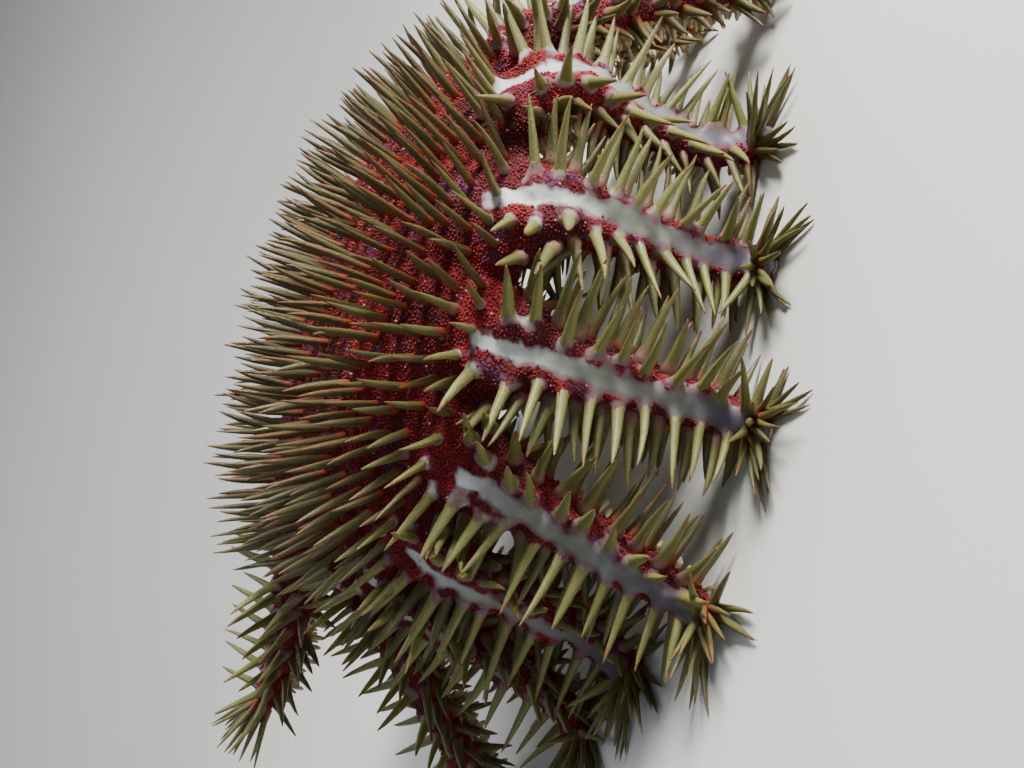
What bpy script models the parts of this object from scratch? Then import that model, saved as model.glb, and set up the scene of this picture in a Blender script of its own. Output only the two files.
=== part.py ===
"""Crown of thorns starfish, life size, in millimetres turned to metres.

The animal is draped like an umbrella: its disc is a dome, fourteen arms hang
from the dome's edge and stand on their tips, and one arm is held out level.
Azimuth 0 is the side towards -Y, and azimuth 90 is towards +X.
"""
import random
from collections import namedtuple
from functools import lru_cache
from math import atan2, ceil, cos, degrees, hypot, pi, radians, sin, sqrt, tan

import bmesh
import bpy
from mathutils import Vector

MM = 0.001
GAP = 0.3                    # kept between touching nodes

# The dome: arc lengths run from the top centre down to the arms
CROWN_HEIGHT = 125.0         # top centre above the floor
CROWN_ARC = 46.0             # the gently sloping middle
DOME_REACH = 150             # whole millimetres of arc over which the dome is worked out
EDGE_ARC = 116.0             # the dome's edge, where the arms come free
HANG_ARC = 142.0             # from here an arm keeps its hanging slope
RIM = 57.0                   # flat to flat half width of the disc's middle piece
SPLIT_ARC = 109.0            # cut between a ray of the disc and its arm
DISC_THICKNESS = 20.0        # at the rim; the middle is thicker, flat below
EDGE_THICKNESS = 17.0
FURROW_START = 76.0          # furrows between the rays start at this arc
FURROW_DEPTH = 10.0          # and are this deep at the dome's edge
GROOVE_DEPTH = 2.6           # the groove under each ray and arm
MOUTH_RADIUS = 15.0
MOUTH_DEPTH = 5.0
MOUTH_FLOOR = 0.6            # the recess's floor, as a share of the mouth's radius
DISC_RINGS = (0.35, 0.7, 1.0)     # rings of points over the disc, as shares of its width
RAY_STATIONS = (70, 83, 96, SPLIT_ARC)     # arcs of a ray's sections

# The arms' tips
TOE_LENGTH = 10.0            # the last stretch, turned out along the floor
TOE_SLOPE = 12.0
TOE_HEIGHT = 5.2             # ridge above the floor at the very end
TOE_EASE = 6.0               # the slope eases to the toe's over this
TURN_LENGTH = 30.0           # and to its tip value over this

# A free arm
SWEEP_LENGTH = 60.0          # length over which an arm turns by its sweep
BLEND_START = 6.0            # the round arm section starts this far before the split
BLEND_LENGTH = 18.0          # and is whole after this length
FLAT_WIDTH = 0.78            # share of the width that is flat underneath
SIDE_DROP = 0.5              # share of the height by which the sides lie lower than the ridge
ARM_STATIONS = (0.1, 0.2, 0.32, 0.46, 0.6, 0.74, 0.87, 0.94, 1.0)     # shares of the free length
# Half width and height by the fraction from edge to tip
ARM_TAPER = ((0.0, 19.0, 17.0), (0.12, 13.8, 15.6), (0.28, 10.2, 13.2), (0.5, 8.6, 11.2),
             (0.75, 7.0, 9.2), (0.93, 5.4, 7.2), (1.0, 4.3, 5.6))

# The pose: azimuth, slope at the end of the middle, slope at the edge, hanging
# slope, tip slope, turn to the side over 60 mm of arm, and length if held up
Arm = namedtuple("Arm", "azimuth crown edge hang tip sweep held")
ARMS = (
    Arm(-6, 14, 61, 77, 62, -4, None),
    Arm(21, 14, 55, 102, 62, -16, None),
    Arm(49, 14, 45, 103, 62, -15, None),
    Arm(73, 14, 38, 63, 49, 0, None),
    Arm(97, 14, 42, 66, 50, 4, None),
    Arm(121, 14, 48, 72, 54, 3, None),
    Arm(147, 14, 52, 80, 58, -3, None),
    Arm(173, 14, 54, 76, 56, 2, None),
    Arm(198, 14, 50, 70, 54, -2, None),
    Arm(224, 11, 40, 66, 48, 0, None),
    Arm(250, 6, 23, 7, -1, 2, 178),
    Arm(271, 14, 48, 48, 36, 0, None),
    Arm(292, 14, 54, 73, 48, 2, None),
    Arm(309, 14, 57, 78, 60, 2, None),
    Arm(330, 14, 60, 60, 64, -2, None),
)

# Spines: shafts of few sides with a shoulder and a point
SPINE_SIDES = 3
SPINE_SINK = 3.5             # root below the skin
SPINE_SHOULDER = 0.6         # fraction of the length where the point starts
SHOULDER_WIDTH = 0.72        # the shoulder's share of the root's radius
TIP_CLEARANCE = 0.8          # from a tip to the next ray's wedge
DISC_SPINES = 40
DISC_SPINE = (25.0, 1.9)     # length and root radius
DISC_SPINE_REACH = 50.0      # outermost root on the disc's middle piece
RAY_SPINE = (23.0, 1.9)
RAY_ROWS = ((71, 2), (84, 3), (98, 3))     # arc and spines across the ray
RAY_SPREAD = 0.82            # share of the ray's width that its roots use
RAY_LEAN = 22                # degrees to the side at the edge of a full furrow
ROW_JITTER = 1.2             # arc by which a root leaves its row
ARM_SPINE = (21.5, 1.8)
RIDGE_STEP = 9.0             # along the arm, between the spines beside the ridge
RIDGE_LEAN = 34.0            # degrees from the normal
RIDGE_SIDE = 0.5             # share of the half width at which the ridge's spines stand
RIDGE_FIRST = 6.5            # from the split to the first spine
ROW_END = 7.0                # from the last spine to the arm's end
FLANK_FIRST = 8.0
FLANK_END = 9.0
# Rows of a flank and below it: step, lean, share of the half width, underneath or not
FLANK_ROWS = ((19.0, 68.0, 0.94, False), (36.0, 105.0, 0.95, True))
RIDGE_SHRINK = (1.0, 0.72)   # share of the length at the arm's start and at its tip
FLANK_SHRINK = (0.9, 0.66)
THICKNESS_KEPT = 0.4         # share by which a short spine stays as thick as a long one
TIP_SPINE = (15.0, 1.5)
TIP_LEANS = (-40, 0, 40)     # degrees to the side
TIP_FORWARD = 0.9            # lean towards the tip, as a share of the way out
TIP_REACH = 3.5              # from the tip's spines to the arm's end
SIZE_SPREAD = 0.1            # share by which a spine's length varies
SEED = 11
TURN_TRIES = 40              # steps that lean a spine clear of its neighbours
TURN_STEP = 0.05
SHARP_ANGLE = 40             # degrees between faces that keep a sharp edge
LEAN_SPREAD = 0.07           # sideways jitter of a spine's direction
SOLVER = "MANIFOLD"

DISC_COLOUR = (0.16, 0.03, 0.03)
RAY_COLOUR = (0.2, 0.04, 0.04)
ARM_COLOUR = (0.35, 0.27, 0.3)
ROUGHNESS = 0.7


def outward(azimuth):
    """The level direction away from the middle at an azimuth in degrees."""
    return Vector((sin(radians(azimuth)), -cos(radians(azimuth)), 0.0))


def along(azimuth):
    """The level direction in which azimuth grows."""
    return Vector((cos(radians(azimuth)), sin(radians(azimuth)), 0.0))


def smooth(t):
    """Eases from 0 to 1 as t does."""
    t = min(max(t, 0.0), 1.0)
    return t * t * (3.0 - 2.0 * t)


def mix(a, b, t):
    return a + (b - a) * t


def neighbours(azimuth):
    """The arms on either side of an azimuth, and how far it lies between them."""
    for i, arm in enumerate(ARMS):
        after = ARMS[(i + 1) % len(ARMS)]
        span = (after.azimuth - arm.azimuth) % 360
        offset = (azimuth - arm.azimuth) % 360
        if offset < span:
            return arm, after, offset / span
    raise ValueError("the arms leave no gap in azimuth")


def dome_slope(s, crown, edge):
    """Slope of the dome in degrees at an arc length."""
    if s < CROWN_ARC:
        return crown * s / CROWN_ARC
    return mix(crown, edge, (s - CROWN_ARC) / (EDGE_ARC - CROWN_ARC))


@lru_cache(maxsize=None)
def dome_rows(azimuth):
    """Radius, height and slope of the dome at every millimetre of arc."""
    arm, after, t = neighbours(azimuth)
    blend = smooth(t)
    crown = mix(arm.crown, after.crown, blend)
    edge = mix(arm.edge, after.edge, blend)
    rho, z, rows = 0.0, CROWN_HEIGHT, []
    for step in range(DOME_REACH):
        slope = min(dome_slope(step + 0.5, crown, edge), edge)
        rows.append((rho, z, slope))
        rho += cos(radians(slope))
        z -= sin(radians(slope))
    return rows


def dome_profile(azimuth):
    return dome_rows(round(azimuth % 360, 3))


def dome_row(s, azimuth):
    """Radius, height and slope of the dome at arc s."""
    rows = dome_profile(azimuth)
    i = min(int(s), len(rows) - 2)
    return [mix(a, b, s - i) for a, b in zip(rows[i], rows[i + 1])]


def dome_point(s, azimuth, depth=0.0, tilt=1.0):
    """The point at arc s, sunk by depth: straight down at tilt 0, along the normal at 1."""
    rho, z, slope = dome_row(s, azimuth)
    slope *= tilt
    rho -= depth * sin(radians(slope))
    z -= depth * cos(radians(slope))
    return outward(azimuth) * rho + Vector((0, 0, z))


def dome_height(rho, azimuth):
    """The dome's height over a point of the plan."""
    rows = dome_profile(azimuth)
    for s in range(len(rows) - 1):
        if rows[s + 1][0] >= rho:
            t = (rho - rows[s][0]) / (rows[s + 1][0] - rows[s][0])
            return mix(rows[s][1], rows[s + 1][1], t)
    raise ValueError("the dome does not reach this radius")


def furrow(s):
    """Depth of the furrows between the rays at arc s."""
    return FURROW_DEPTH * smooth((s - FURROW_START) / (EDGE_ARC - FURROW_START))


# A section's points: the share of the half width, and whether it lies underneath
SECTION = [(t, False) for t in (-1.0, -0.55, 0.0, 0.55, 1.0)]
SECTION += [(t, True) for t in (1.0, 0.0, -1.0)]
HUB = SECTION.index((0.0, True))      # the end faces fan out from this point


class Ray:
    """One arm's ridge line, its wedge of the disc and its cross-sections."""

    def __init__(self, index):
        self.arm = ARMS[index]
        before, after = ARMS[index - 1], ARMS[(index + 1) % len(ARMS)]
        self.half_low = ((self.arm.azimuth - before.azimuth) % 360) / 2
        self.half_high = ((after.azimuth - self.arm.azimuth) % 360) / 2
        low, high = self.arm.azimuth - self.half_low, self.arm.azimuth + self.half_high
        self.walls = (along(low), -along(high))
        self.length = self.arm.held or self.find_length()
        self.line = self.walk(self.length)

    def slope(self, s, length):
        """Slope of the ridge in degrees at arc s, for a ridge of this length."""
        arm = self.arm
        value = dome_slope(min(s, EDGE_ARC), arm.crown, arm.edge)
        value = mix(value, arm.hang, smooth((s - EDGE_ARC) / (HANG_ARC - EDGE_ARC)))
        value = mix(value, arm.tip, smooth((s - length + TURN_LENGTH) / (TURN_LENGTH - TOE_LENGTH)))
        if arm.held:
            return value
        return mix(value, TOE_SLOPE, smooth((s - length + TOE_LENGTH) / TOE_EASE))

    def walk(self, length):
        """Point, slope and heading at every millimetre of the ridge."""
        point, rows = Vector((0, 0, CROWN_HEIGHT)), []
        for step in range(int(ceil(length)) + 2):
            s = step + 0.5
            slope = self.slope(s, length)
            heading = self.arm.azimuth + self.arm.sweep * max(0.0, s - EDGE_ARC) / SWEEP_LENGTH
            rows.append((point.copy(), slope, heading))
            point = point + outward(heading) * cos(radians(slope)) - Vector((0, 0, sin(radians(slope))))
        return rows

    def find_length(self):
        """The length that brings the ridge down to the toe's height."""
        low, high = EDGE_ARC + 20, EDGE_ARC + 130
        for _ in range(14):
            middle = (low + high) / 2
            if self.walk(middle)[int(middle)][0].z > TOE_HEIGHT:
                low = middle
            else:
                high = middle
        return low

    def frame(self, s):
        """Ridge point, direction along, direction across and normal at arc s."""
        i = min(int(s), len(self.line) - 2)
        here, there = self.line[i], self.line[i + 1]
        point = here[0].lerp(there[0], s - i)
        slope = radians(mix(here[1], there[1], s - i))
        heading = mix(here[2], there[2], s - i)
        forward = outward(heading) * cos(slope) - Vector((0, 0, sin(slope)))
        normal = outward(heading) * sin(slope) + Vector((0, 0, cos(slope)))
        return point, forward, along(heading), normal

    def taper(self, s):
        """Half width and height of the free arm at arc s."""
        q = (s - EDGE_ARC) / (self.length - EDGE_ARC)
        for (q0, w0, h0), (q1, w1, h1) in zip(ARM_TAPER, ARM_TAPER[1:]):
            if q <= q1:
                t = max(0.0, (q - q0) / (q1 - q0))
                return mix(w0, w1, t), mix(h0, h1, t)
        return ARM_TAPER[-1][1:]

    def half(self, t):
        return self.half_high if t > 0 else self.half_low

    def azimuth(self, t):
        return self.arm.azimuth + t * self.half(t)

    def keep_clear(self, point, margin=GAP / 2):
        """Moves a point inside the wedge that this ray owns, and above the floor."""
        for wall in self.walls:
            point = point + wall * max(0.0, margin - point.dot(wall))
        point.z = max(point.z, 0.0)
        return point

    def rim_section(self):
        """The upright face where the ray meets the disc's middle piece."""
        x = RIM + GAP
        points = []
        for t, under in SECTION:
            half = radians(self.half(t))
            y = t * (x * tan(half) - GAP / 2 / cos(half))
            azimuth = self.arm.azimuth + degrees(atan2(y, x))
            z = dome_height(hypot(x, y), azimuth) - (DISC_THICKNESS if under else 0.0)
            points.append(outward(self.arm.azimuth) * x + along(self.arm.azimuth) * y + Vector((0, 0, z)))
        return points

    def disc_point(self, s, t, under):
        """A point of the ray as part of the dome, on its back or underside."""
        if not under:
            return dome_point(s, self.azimuth(t), furrow(s) * t * t)
        inner = smooth((s - RIM) / (SPLIT_ARC - RIM))
        depth = mix(DISC_THICKNESS, EDGE_THICKNESS, inner) - (GROOVE_DEPTH if t == 0 else 0.0)
        return dome_point(s, self.azimuth(t), depth, inner)

    def arm_point(self, s, t, under):
        """A point of the free arm: round above, flat and grooved below."""
        point, _, across, normal = self.frame(s)
        width, height = self.taper(s)
        if under:
            depth = height - (GROOVE_DEPTH if t == 0 else 0.0)
            return point + across * t * FLAT_WIDTH * width - normal * depth
        return point + across * t * width - normal * height * SIDE_DROP * abs(t) ** 3

    def skin_point(self, s, t, under=False):
        """A point of the skin at arc s, by its share of the half width."""
        free = smooth((s - SPLIT_ARC + BLEND_START) / BLEND_LENGTH)
        if free == 0:
            return self.disc_point(s, t, under)
        if free == 1:
            return self.arm_point(s, t, under)
        return self.disc_point(s, t, under).lerp(self.arm_point(s, t, under), free)

    def section(self, s):
        """The ring of points at arc s, level with the cut where the arm starts."""
        points = [self.skin_point(s, t, under) for t, under in SECTION]
        if s == SPLIT_ARC:
            origin, forward, _, _ = self.frame(s)
            points = [p - forward * (p - origin).dot(forward) for p in points]
        return [self.keep_clear(p) for p in points]

    def turn_clear(self, root, direction, length, radius):
        """Leans a spine until all of it stays in this ray's wedge, or gives up."""
        room = ((0.0, radius + GAP), (SPINE_SHOULDER, radius * SHOULDER_WIDTH + GAP), (1.0, TIP_CLEARANCE))
        floor = Vector((0, 0, 1))
        for _ in range(TURN_TRIES):
            push = Vector()
            for fraction, margin in room:
                point = root + direction * length * fraction
                for wall in (*self.walls, floor):
                    if point.dot(wall) < margin:
                        push = push + wall
            if push.length == 0:
                return direction
            direction = (direction + push * TURN_STEP).normalized()
        return None

    def spine(self, rng, s, t, lean, size, under=False, forward_lean=0.0):
        """One spine rooted at arc s, leaning to its side by an angle from the normal."""
        root = self.skin_point(s, t, under)
        _, forward, across, normal = self.frame(s)
        if s < SPLIT_ARC:
            across = along(self.azimuth(t))
            slope = radians(dome_row(s, self.azimuth(t))[2])
            normal = outward(self.azimuth(t)) * sin(slope) + Vector((0, 0, cos(slope)))
        direction = normal * cos(radians(lean)) + across * sin(radians(lean)) + forward * forward_lean
        direction += across * rng.uniform(-LEAN_SPREAD, LEAN_SPREAD)
        direction += forward * rng.uniform(-LEAN_SPREAD, LEAN_SPREAD)
        length = size[0] * rng.uniform(1 - SIZE_SPREAD, 1 + SIZE_SPREAD)
        direction = self.turn_clear(root, direction.normalized(), length, size[1])
        if direction is None:
            return []
        return [make_spine(root, direction, length, size[1], rng.uniform(0, pi))]

    def ray_spines(self, rng):
        """Rows across the ray, leaning apart where the furrows deepen."""
        spines = []
        for row, count in RAY_ROWS:
            for k in range(count):
                t = ((k + 0.5) / count * 2 - 1) * RAY_SPREAD
                lean = t * RAY_LEAN * furrow(row) / FURROW_DEPTH
                spines += self.spine(rng, row + rng.uniform(-ROW_JITTER, ROW_JITTER), t, lean, RAY_SPINE)
        return spines

    def shrunk(self, s, shrink):
        """Length and radius of an arm's spine at arc s."""
        share = mix(*shrink, smooth((s - EDGE_ARC) / (self.length - EDGE_ARC)))
        return ARM_SPINE[0] * share, ARM_SPINE[1] * mix(share, 1.0, THICKNESS_KEPT)

    def arm_spines(self, rng):
        """Two rows beside the ridge, one on each flank, one under it, and the tip's."""
        spines, s, side = [], SPLIT_ARC + RIDGE_FIRST, 1
        while s < self.length - ROW_END:
            size = self.shrunk(s, RIDGE_SHRINK)
            spines += self.spine(rng, s, side * RIDGE_SIDE, side * RIDGE_LEAN, size)
            s, side = s + RIDGE_STEP, -side
        for side in (-1, 1):
            for step, lean, t, under in FLANK_ROWS:
                s = SPLIT_ARC + FLANK_FIRST + step / 2 * (side > 0)
                while s < self.length - FLANK_END:
                    spines += self.spine(rng, s, side * t, side * lean, self.shrunk(s, FLANK_SHRINK), under)
                    s += step
        for lean in TIP_LEANS:
            t = RIDGE_SIDE * lean / max(TIP_LEANS)
            spines += self.spine(rng, self.length - TIP_REACH, t, lean, TIP_SPINE, forward_lean=TIP_FORWARD)
        return spines


def loft(name, rings):
    """A closed mesh through rings of equal length, capped at both ends."""
    bm = bmesh.new()
    rows = [[bm.verts.new(p * MM) for p in ring] for ring in rings]
    for low, high in zip(rows, rows[1:]):
        for i in range(len(low)):
            j = (i + 1) % len(low)
            bm.faces.new((low[i], low[j], high[j], high[i]))
    for row in (rows[0], rows[-1]):
        for i in range(len(row) - 2):
            bm.faces.new((row[HUB], row[(HUB + 1 + i) % len(row)], row[(HUB + 2 + i) % len(row)]))
    return finish_mesh(name, bm)


def finish_mesh(name, bm):
    """A body of triangles, so that no face is bent."""
    bmesh.ops.triangulate(bm, faces=bm.faces)
    return new_body(name, bm)


def new_body(name, bm):
    """Turns a bmesh into a smooth object with its faces outwards."""
    bmesh.ops.recalc_face_normals(bm, faces=bm.faces)
    mesh = bpy.data.meshes.new(name)
    bm.to_mesh(mesh)
    bm.free()
    mesh.shade_smooth()
    body = bpy.data.objects.new(name, mesh)
    bpy.context.scene.collection.objects.link(body)
    return body


def make_disc(name):
    """The dome's middle: rings of points out to the flats that the rays meet."""
    bm = bmesh.new()
    spokes = []
    for i, arm in enumerate(ARMS):
        after = ARMS[(i + 1) % len(ARMS)]
        half = ((after.azimuth - arm.azimuth) % 360) / 2
        spokes += [(arm.azimuth, RIM), (arm.azimuth + half, RIM / cos(radians(half)))]

    low = sum(dome_height(reach, azimuth) for azimuth, reach in spokes) / len(spokes) - DISC_THICKNESS

    def top_height(azimuth, reach, fraction):
        return dome_height(reach * fraction, azimuth)

    def under_height(azimuth, reach, fraction):
        return mix(low, dome_height(reach, azimuth) - DISC_THICKNESS, fraction)

    def mouth_height(azimuth, reach, fraction):
        return under_height(azimuth, reach, fraction) + MOUTH_DEPTH

    def ring(fraction, height):
        row = []
        for azimuth, reach in spokes:
            level = Vector((0, 0, height(azimuth, reach, fraction)))
            row.append(bm.verts.new((outward(azimuth) * reach * fraction + level) * MM))
        return row

    top = bm.verts.new(Vector((0, 0, CROWN_HEIGHT)) * MM)
    mouth = bm.verts.new(Vector((0, 0, low + MOUTH_DEPTH)) * MM)
    rows = [ring(f, top_height) for f in DISC_RINGS]
    rows += [ring(f, under_height) for f in (1.0, MOUTH_RADIUS / RIM)]
    rows += [ring(MOUTH_RADIUS * MOUTH_FLOOR / RIM, mouth_height)]
    count = len(spokes)
    for i in range(count):
        j = (i + 1) % count
        bm.faces.new((top, rows[0][i], rows[0][j]))
        bm.faces.new((mouth, rows[-1][j], rows[-1][i]))
        for inner, outer in zip(rows, rows[1:]):
            bm.faces.new((inner[i], outer[i], outer[j], inner[j]))
    return finish_mesh(name, bm)


def make_spine(root, direction, length, radius, twist):
    """A closed spine of few sides, sunk into the skin at its root."""
    bm = bmesh.new()
    side = direction.orthogonal().normalized()
    other = direction.cross(side)
    rings = []
    for distance, r in ((-SPINE_SINK, radius), (length * SPINE_SHOULDER, radius * SHOULDER_WIDTH)):
        centre = root + direction * distance
        angles = [twist + k * 2 * pi / SPINE_SIDES for k in range(SPINE_SIDES)]
        rings.append([bm.verts.new((centre + (side * cos(a) + other * sin(a)) * r) * MM) for a in angles])
    tip = bm.verts.new((root + direction * length) * MM)
    for k in range(SPINE_SIDES):
        j = (k + 1) % SPINE_SIDES
        bm.faces.new((rings[0][k], rings[0][j], rings[1][j], rings[1][k]))
        bm.faces.new((rings[1][k], rings[1][j], tip))
    bm.faces.new(rings[0][::-1])
    return new_body("spine", bm)


def disc_spines(rng):
    """Spines over the disc's middle in a sunflower pattern."""
    spines = []
    for k in range(DISC_SPINES):
        azimuth = degrees(k * pi * (3 - sqrt(5)))
        rho = DISC_SPINE_REACH * sqrt((k + 0.5) / DISC_SPINES)
        slope = radians(dome_row(rho, azimuth)[2])
        root = outward(azimuth) * rho + Vector((0, 0, dome_height(rho, azimuth)))
        direction = outward(azimuth) * sin(slope) + Vector((0, 0, cos(slope)))
        direction += Vector([rng.uniform(-LEAN_SPREAD, LEAN_SPREAD) for _ in range(3)])
        length = DISC_SPINE[0] * rng.uniform(1 - SIZE_SPREAD, 1 + SIZE_SPREAD)
        spines.append(make_spine(root, direction.normalized(), length, DISC_SPINE[1], rng.uniform(0, pi)))
    return spines


def fuse(body, spines):
    """Joins the spines to their body in one union and keeps its largest shell."""
    group = bpy.data.collections.new(body.name + "_spines")
    for spine in spines:
        bpy.context.scene.collection.objects.unlink(spine)
        group.objects.link(spine)
    bpy.context.scene.collection.children.link(group)
    union = body.modifiers.new("spines", "BOOLEAN")
    union.operation = "UNION"
    union.solver = SOLVER
    union.operand_type = "COLLECTION"
    union.collection = group
    fused = bpy.data.meshes.new_from_object(body.evaluated_get(bpy.context.evaluated_depsgraph_get()))
    body.modifiers.clear()
    body.data = fused
    for spine in spines:
        bpy.data.objects.remove(spine)
    bpy.data.collections.remove(group)
    keep_largest_shell(body.data)
    body.data.shade_smooth()
    body.data.set_sharp_from_angle(angle=radians(SHARP_ANGLE))


def keep_largest_shell(mesh):
    """Drops loose scraps and sealed hollows, and splits the faces into triangles."""
    bm = bmesh.new()
    bm.from_mesh(mesh)
    shells, seen = [], set()
    for start in bm.faces:
        if start in seen:
            continue
        shell, queue = [], [start]
        seen.add(start)
        while queue:
            face = queue.pop()
            shell.append(face)
            for edge in face.edges:
                for other in edge.link_faces:
                    if other not in seen:
                        seen.add(other)
                        queue.append(other)
        shells.append(shell)
    shells.sort(key=lambda shell: sum(face.calc_area() for face in shell))
    loose = [face for shell in shells[:-1] for face in shell]
    bmesh.ops.delete(bm, geom=loose, context="FACES")
    bmesh.ops.triangulate(bm, faces=bm.faces)
    bm.to_mesh(mesh)
    bm.free()


def material(name, colour, roughness):
    """A skin of one colour."""
    finish = bpy.data.materials.new(name)
    finish.use_nodes = True
    shader = finish.node_tree.nodes["Principled BSDF"]
    shader.inputs["Base Color"].default_value = (*colour, 1.0)
    shader.inputs["Roughness"].default_value = roughness
    shader.inputs["Metallic"].default_value = 0.0
    return finish


def centre_on_origin():
    """Moves every mesh so that the middle of the whole box stands on the origin."""
    points = [v.co for body in bpy.data.objects for v in body.data.vertices]
    low = [min(p[i] for p in points) for i in range(3)]
    high = [max(p[i] for p in points) for i in range(3)]
    shift = Vector((-(low[0] + high[0]) / 2, -(low[1] + high[1]) / 2, -low[2]))
    for body in bpy.data.objects:
        for v in body.data.vertices:
            v.co += shift


def make_ray(index, rng):
    """One ray of the disc and the free arm that it carries."""
    ray = Ray(index)
    sections = [ray.rim_section()] + [ray.section(s) for s in RAY_STATIONS]
    inner = loft(f"ray_{index + 1:02d}", sections)
    inner.data.materials.append(material(f"ray_skin_{index + 1:02d}", RAY_COLOUR, ROUGHNESS))
    fuse(inner, ray.ray_spines(rng))
    forward = ray.frame(SPLIT_ARC)[1]
    cut = [point + forward * GAP for point in sections[-1]]
    free = ray.length - SPLIT_ARC
    outer = loft(f"arm_{index + 1:02d}", [cut] + [ray.section(SPLIT_ARC + free * f) for f in ARM_STATIONS])
    outer.data.materials.append(material(f"arm_skin_{index + 1:02d}", ARM_COLOUR, ROUGHNESS))
    fuse(outer, ray.arm_spines(rng))


def main():
    for thing in list(bpy.data.objects):
        bpy.data.objects.remove(thing)
    rng = random.Random(SEED)
    disc = make_disc("disc")
    disc.data.materials.append(material("disc_skin", DISC_COLOUR, ROUGHNESS))
    fuse(disc, disc_spines(rng))
    for index in range(len(ARMS)):
        make_ray(index, rng)
    centre_on_origin()


main()
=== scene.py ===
"""Crown of thorns starfish: the looks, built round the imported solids.

One skin takes the place of the solids' flesh. Over it come the spines, the
soft red granules of the back, and the feet, furrows and mouth underneath.
Lengths are in metres in the mesh and in millimetres in the shape formulas.
"""
import random
from collections import namedtuple
from functools import lru_cache
from math import atan2, ceil, cos, degrees, pi, radians, sin, sqrt

import bmesh
import bpy
import numpy as np
from bpy.props import FloatProperty, FloatVectorProperty, PointerProperty
from mathutils import Matrix, Vector, kdtree, noise


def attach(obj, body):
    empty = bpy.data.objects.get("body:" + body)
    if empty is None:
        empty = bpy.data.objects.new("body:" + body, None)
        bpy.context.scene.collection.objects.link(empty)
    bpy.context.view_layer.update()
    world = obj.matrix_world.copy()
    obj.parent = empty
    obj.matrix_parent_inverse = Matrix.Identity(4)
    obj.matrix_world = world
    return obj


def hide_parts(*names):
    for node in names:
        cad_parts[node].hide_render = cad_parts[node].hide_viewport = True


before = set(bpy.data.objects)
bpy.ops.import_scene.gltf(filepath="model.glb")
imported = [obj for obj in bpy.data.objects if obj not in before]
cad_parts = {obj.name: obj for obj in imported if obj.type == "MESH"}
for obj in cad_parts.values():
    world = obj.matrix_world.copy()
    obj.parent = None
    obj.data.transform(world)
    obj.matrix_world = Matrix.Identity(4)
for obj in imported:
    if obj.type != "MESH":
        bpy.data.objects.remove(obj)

bl_info = {
    "name": "Crown of Thorns Starfish",
    "version": (1, 0, 0),
    "blender": (4, 5, 0),
    "location": "3D View > Sidebar > Starfish",
    "description": "Builds the skin, spines, granules and tube feet of a crown of thorns starfish",
    "category": "Add Mesh",
}

MM = 0.001
DOME_CENTRE = Vector((0.01215, -0.00487, 0.0))     # the dome's axis in the frame

# The pose, as the solids have it
CROWN_HEIGHT = 125.0
CROWN_ARC = 46.0
EDGE_ARC = 116.0
HANG_ARC = 142.0
RIM = 57.0
SPLIT_ARC = 109.0
DISC_THICKNESS = 20.0
EDGE_THICKNESS = 17.0
FURROW_START = 76.0
FURROW_DEPTH = 10.0
TOE_LENGTH = 10.0
TOE_SLOPE = 12.0
TOE_HEIGHT = 5.2
TOE_EASE = 0.6               # share of the toe over which it comes level
TURN_LENGTH = 30.0
SWEEP_LENGTH = 60.0          # arc over which an arm turns by its sweep
FREE_LENGTHS = (20, 130)     # least and most that an arm runs on past the dome's edge
LENGTH_TRIES = 14
PROFILE_ROWS = 150
BACK_POWER = 1.15            # how the free arm's section is rounded
SIDE_POWER = 0.6
UNDER_POWER = 0.55
UNDER_WIDTH = 0.94
ARM_TAPER = ((0.0, 19.0, 17.0), (0.12, 13.8, 15.6), (0.28, 10.2, 13.2), (0.5, 8.6, 11.2),
             (0.75, 7.0, 9.2), (0.93, 5.4, 7.2), (1.0, 4.3, 5.6))
Arm = namedtuple("Arm", "azimuth crown edge hang tip sweep held")
ARMS = (
    Arm(-6, 14, 61, 77, 62, -4, None),
    Arm(21, 14, 55, 102, 62, -16, None),
    Arm(49, 14, 45, 103, 62, -15, None),
    Arm(73, 14, 38, 63, 49, 0, None),
    Arm(97, 14, 42, 66, 50, 4, None),
    Arm(121, 14, 48, 72, 54, 3, None),
    Arm(147, 14, 52, 80, 58, -3, None),
    Arm(173, 14, 54, 76, 56, 2, None),
    Arm(198, 14, 50, 70, 54, -2, None),
    Arm(224, 11, 40, 66, 48, 0, None),
    Arm(250, 6, 23, 7, -1, 2, 178),
    Arm(271, 14, 48, 48, 36, 0, None),
    Arm(292, 14, 54, 73, 48, 2, None),
    Arm(309, 14, 57, 78, 60, 2, None),
    Arm(330, 14, 60, 60, 64, -2, None),
)

# Where the finer forms sit
GROOVE_WIDTH = 3.4           # half width of the furrow under a ray
GROOVE_DEPTH = 3.2
GROOVE_FADE = 8.0            # length over which a groove fades out at either end
MOUTH_RADIUS = 13.0
MOUTH_DEPTH = 9.0
RECESS = (0.35, 0.8)         # where the mouth's hollow starts to rise and how far, in its radii
WEDGE_REACH = 5.0            # how far a spine's point may pass into the next ray's wedge
FLOOR_CLEARANCE = 0.6
TIP_CLEARANCE = 1.0          # a spine is leaned until its point is this far above the floor

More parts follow.
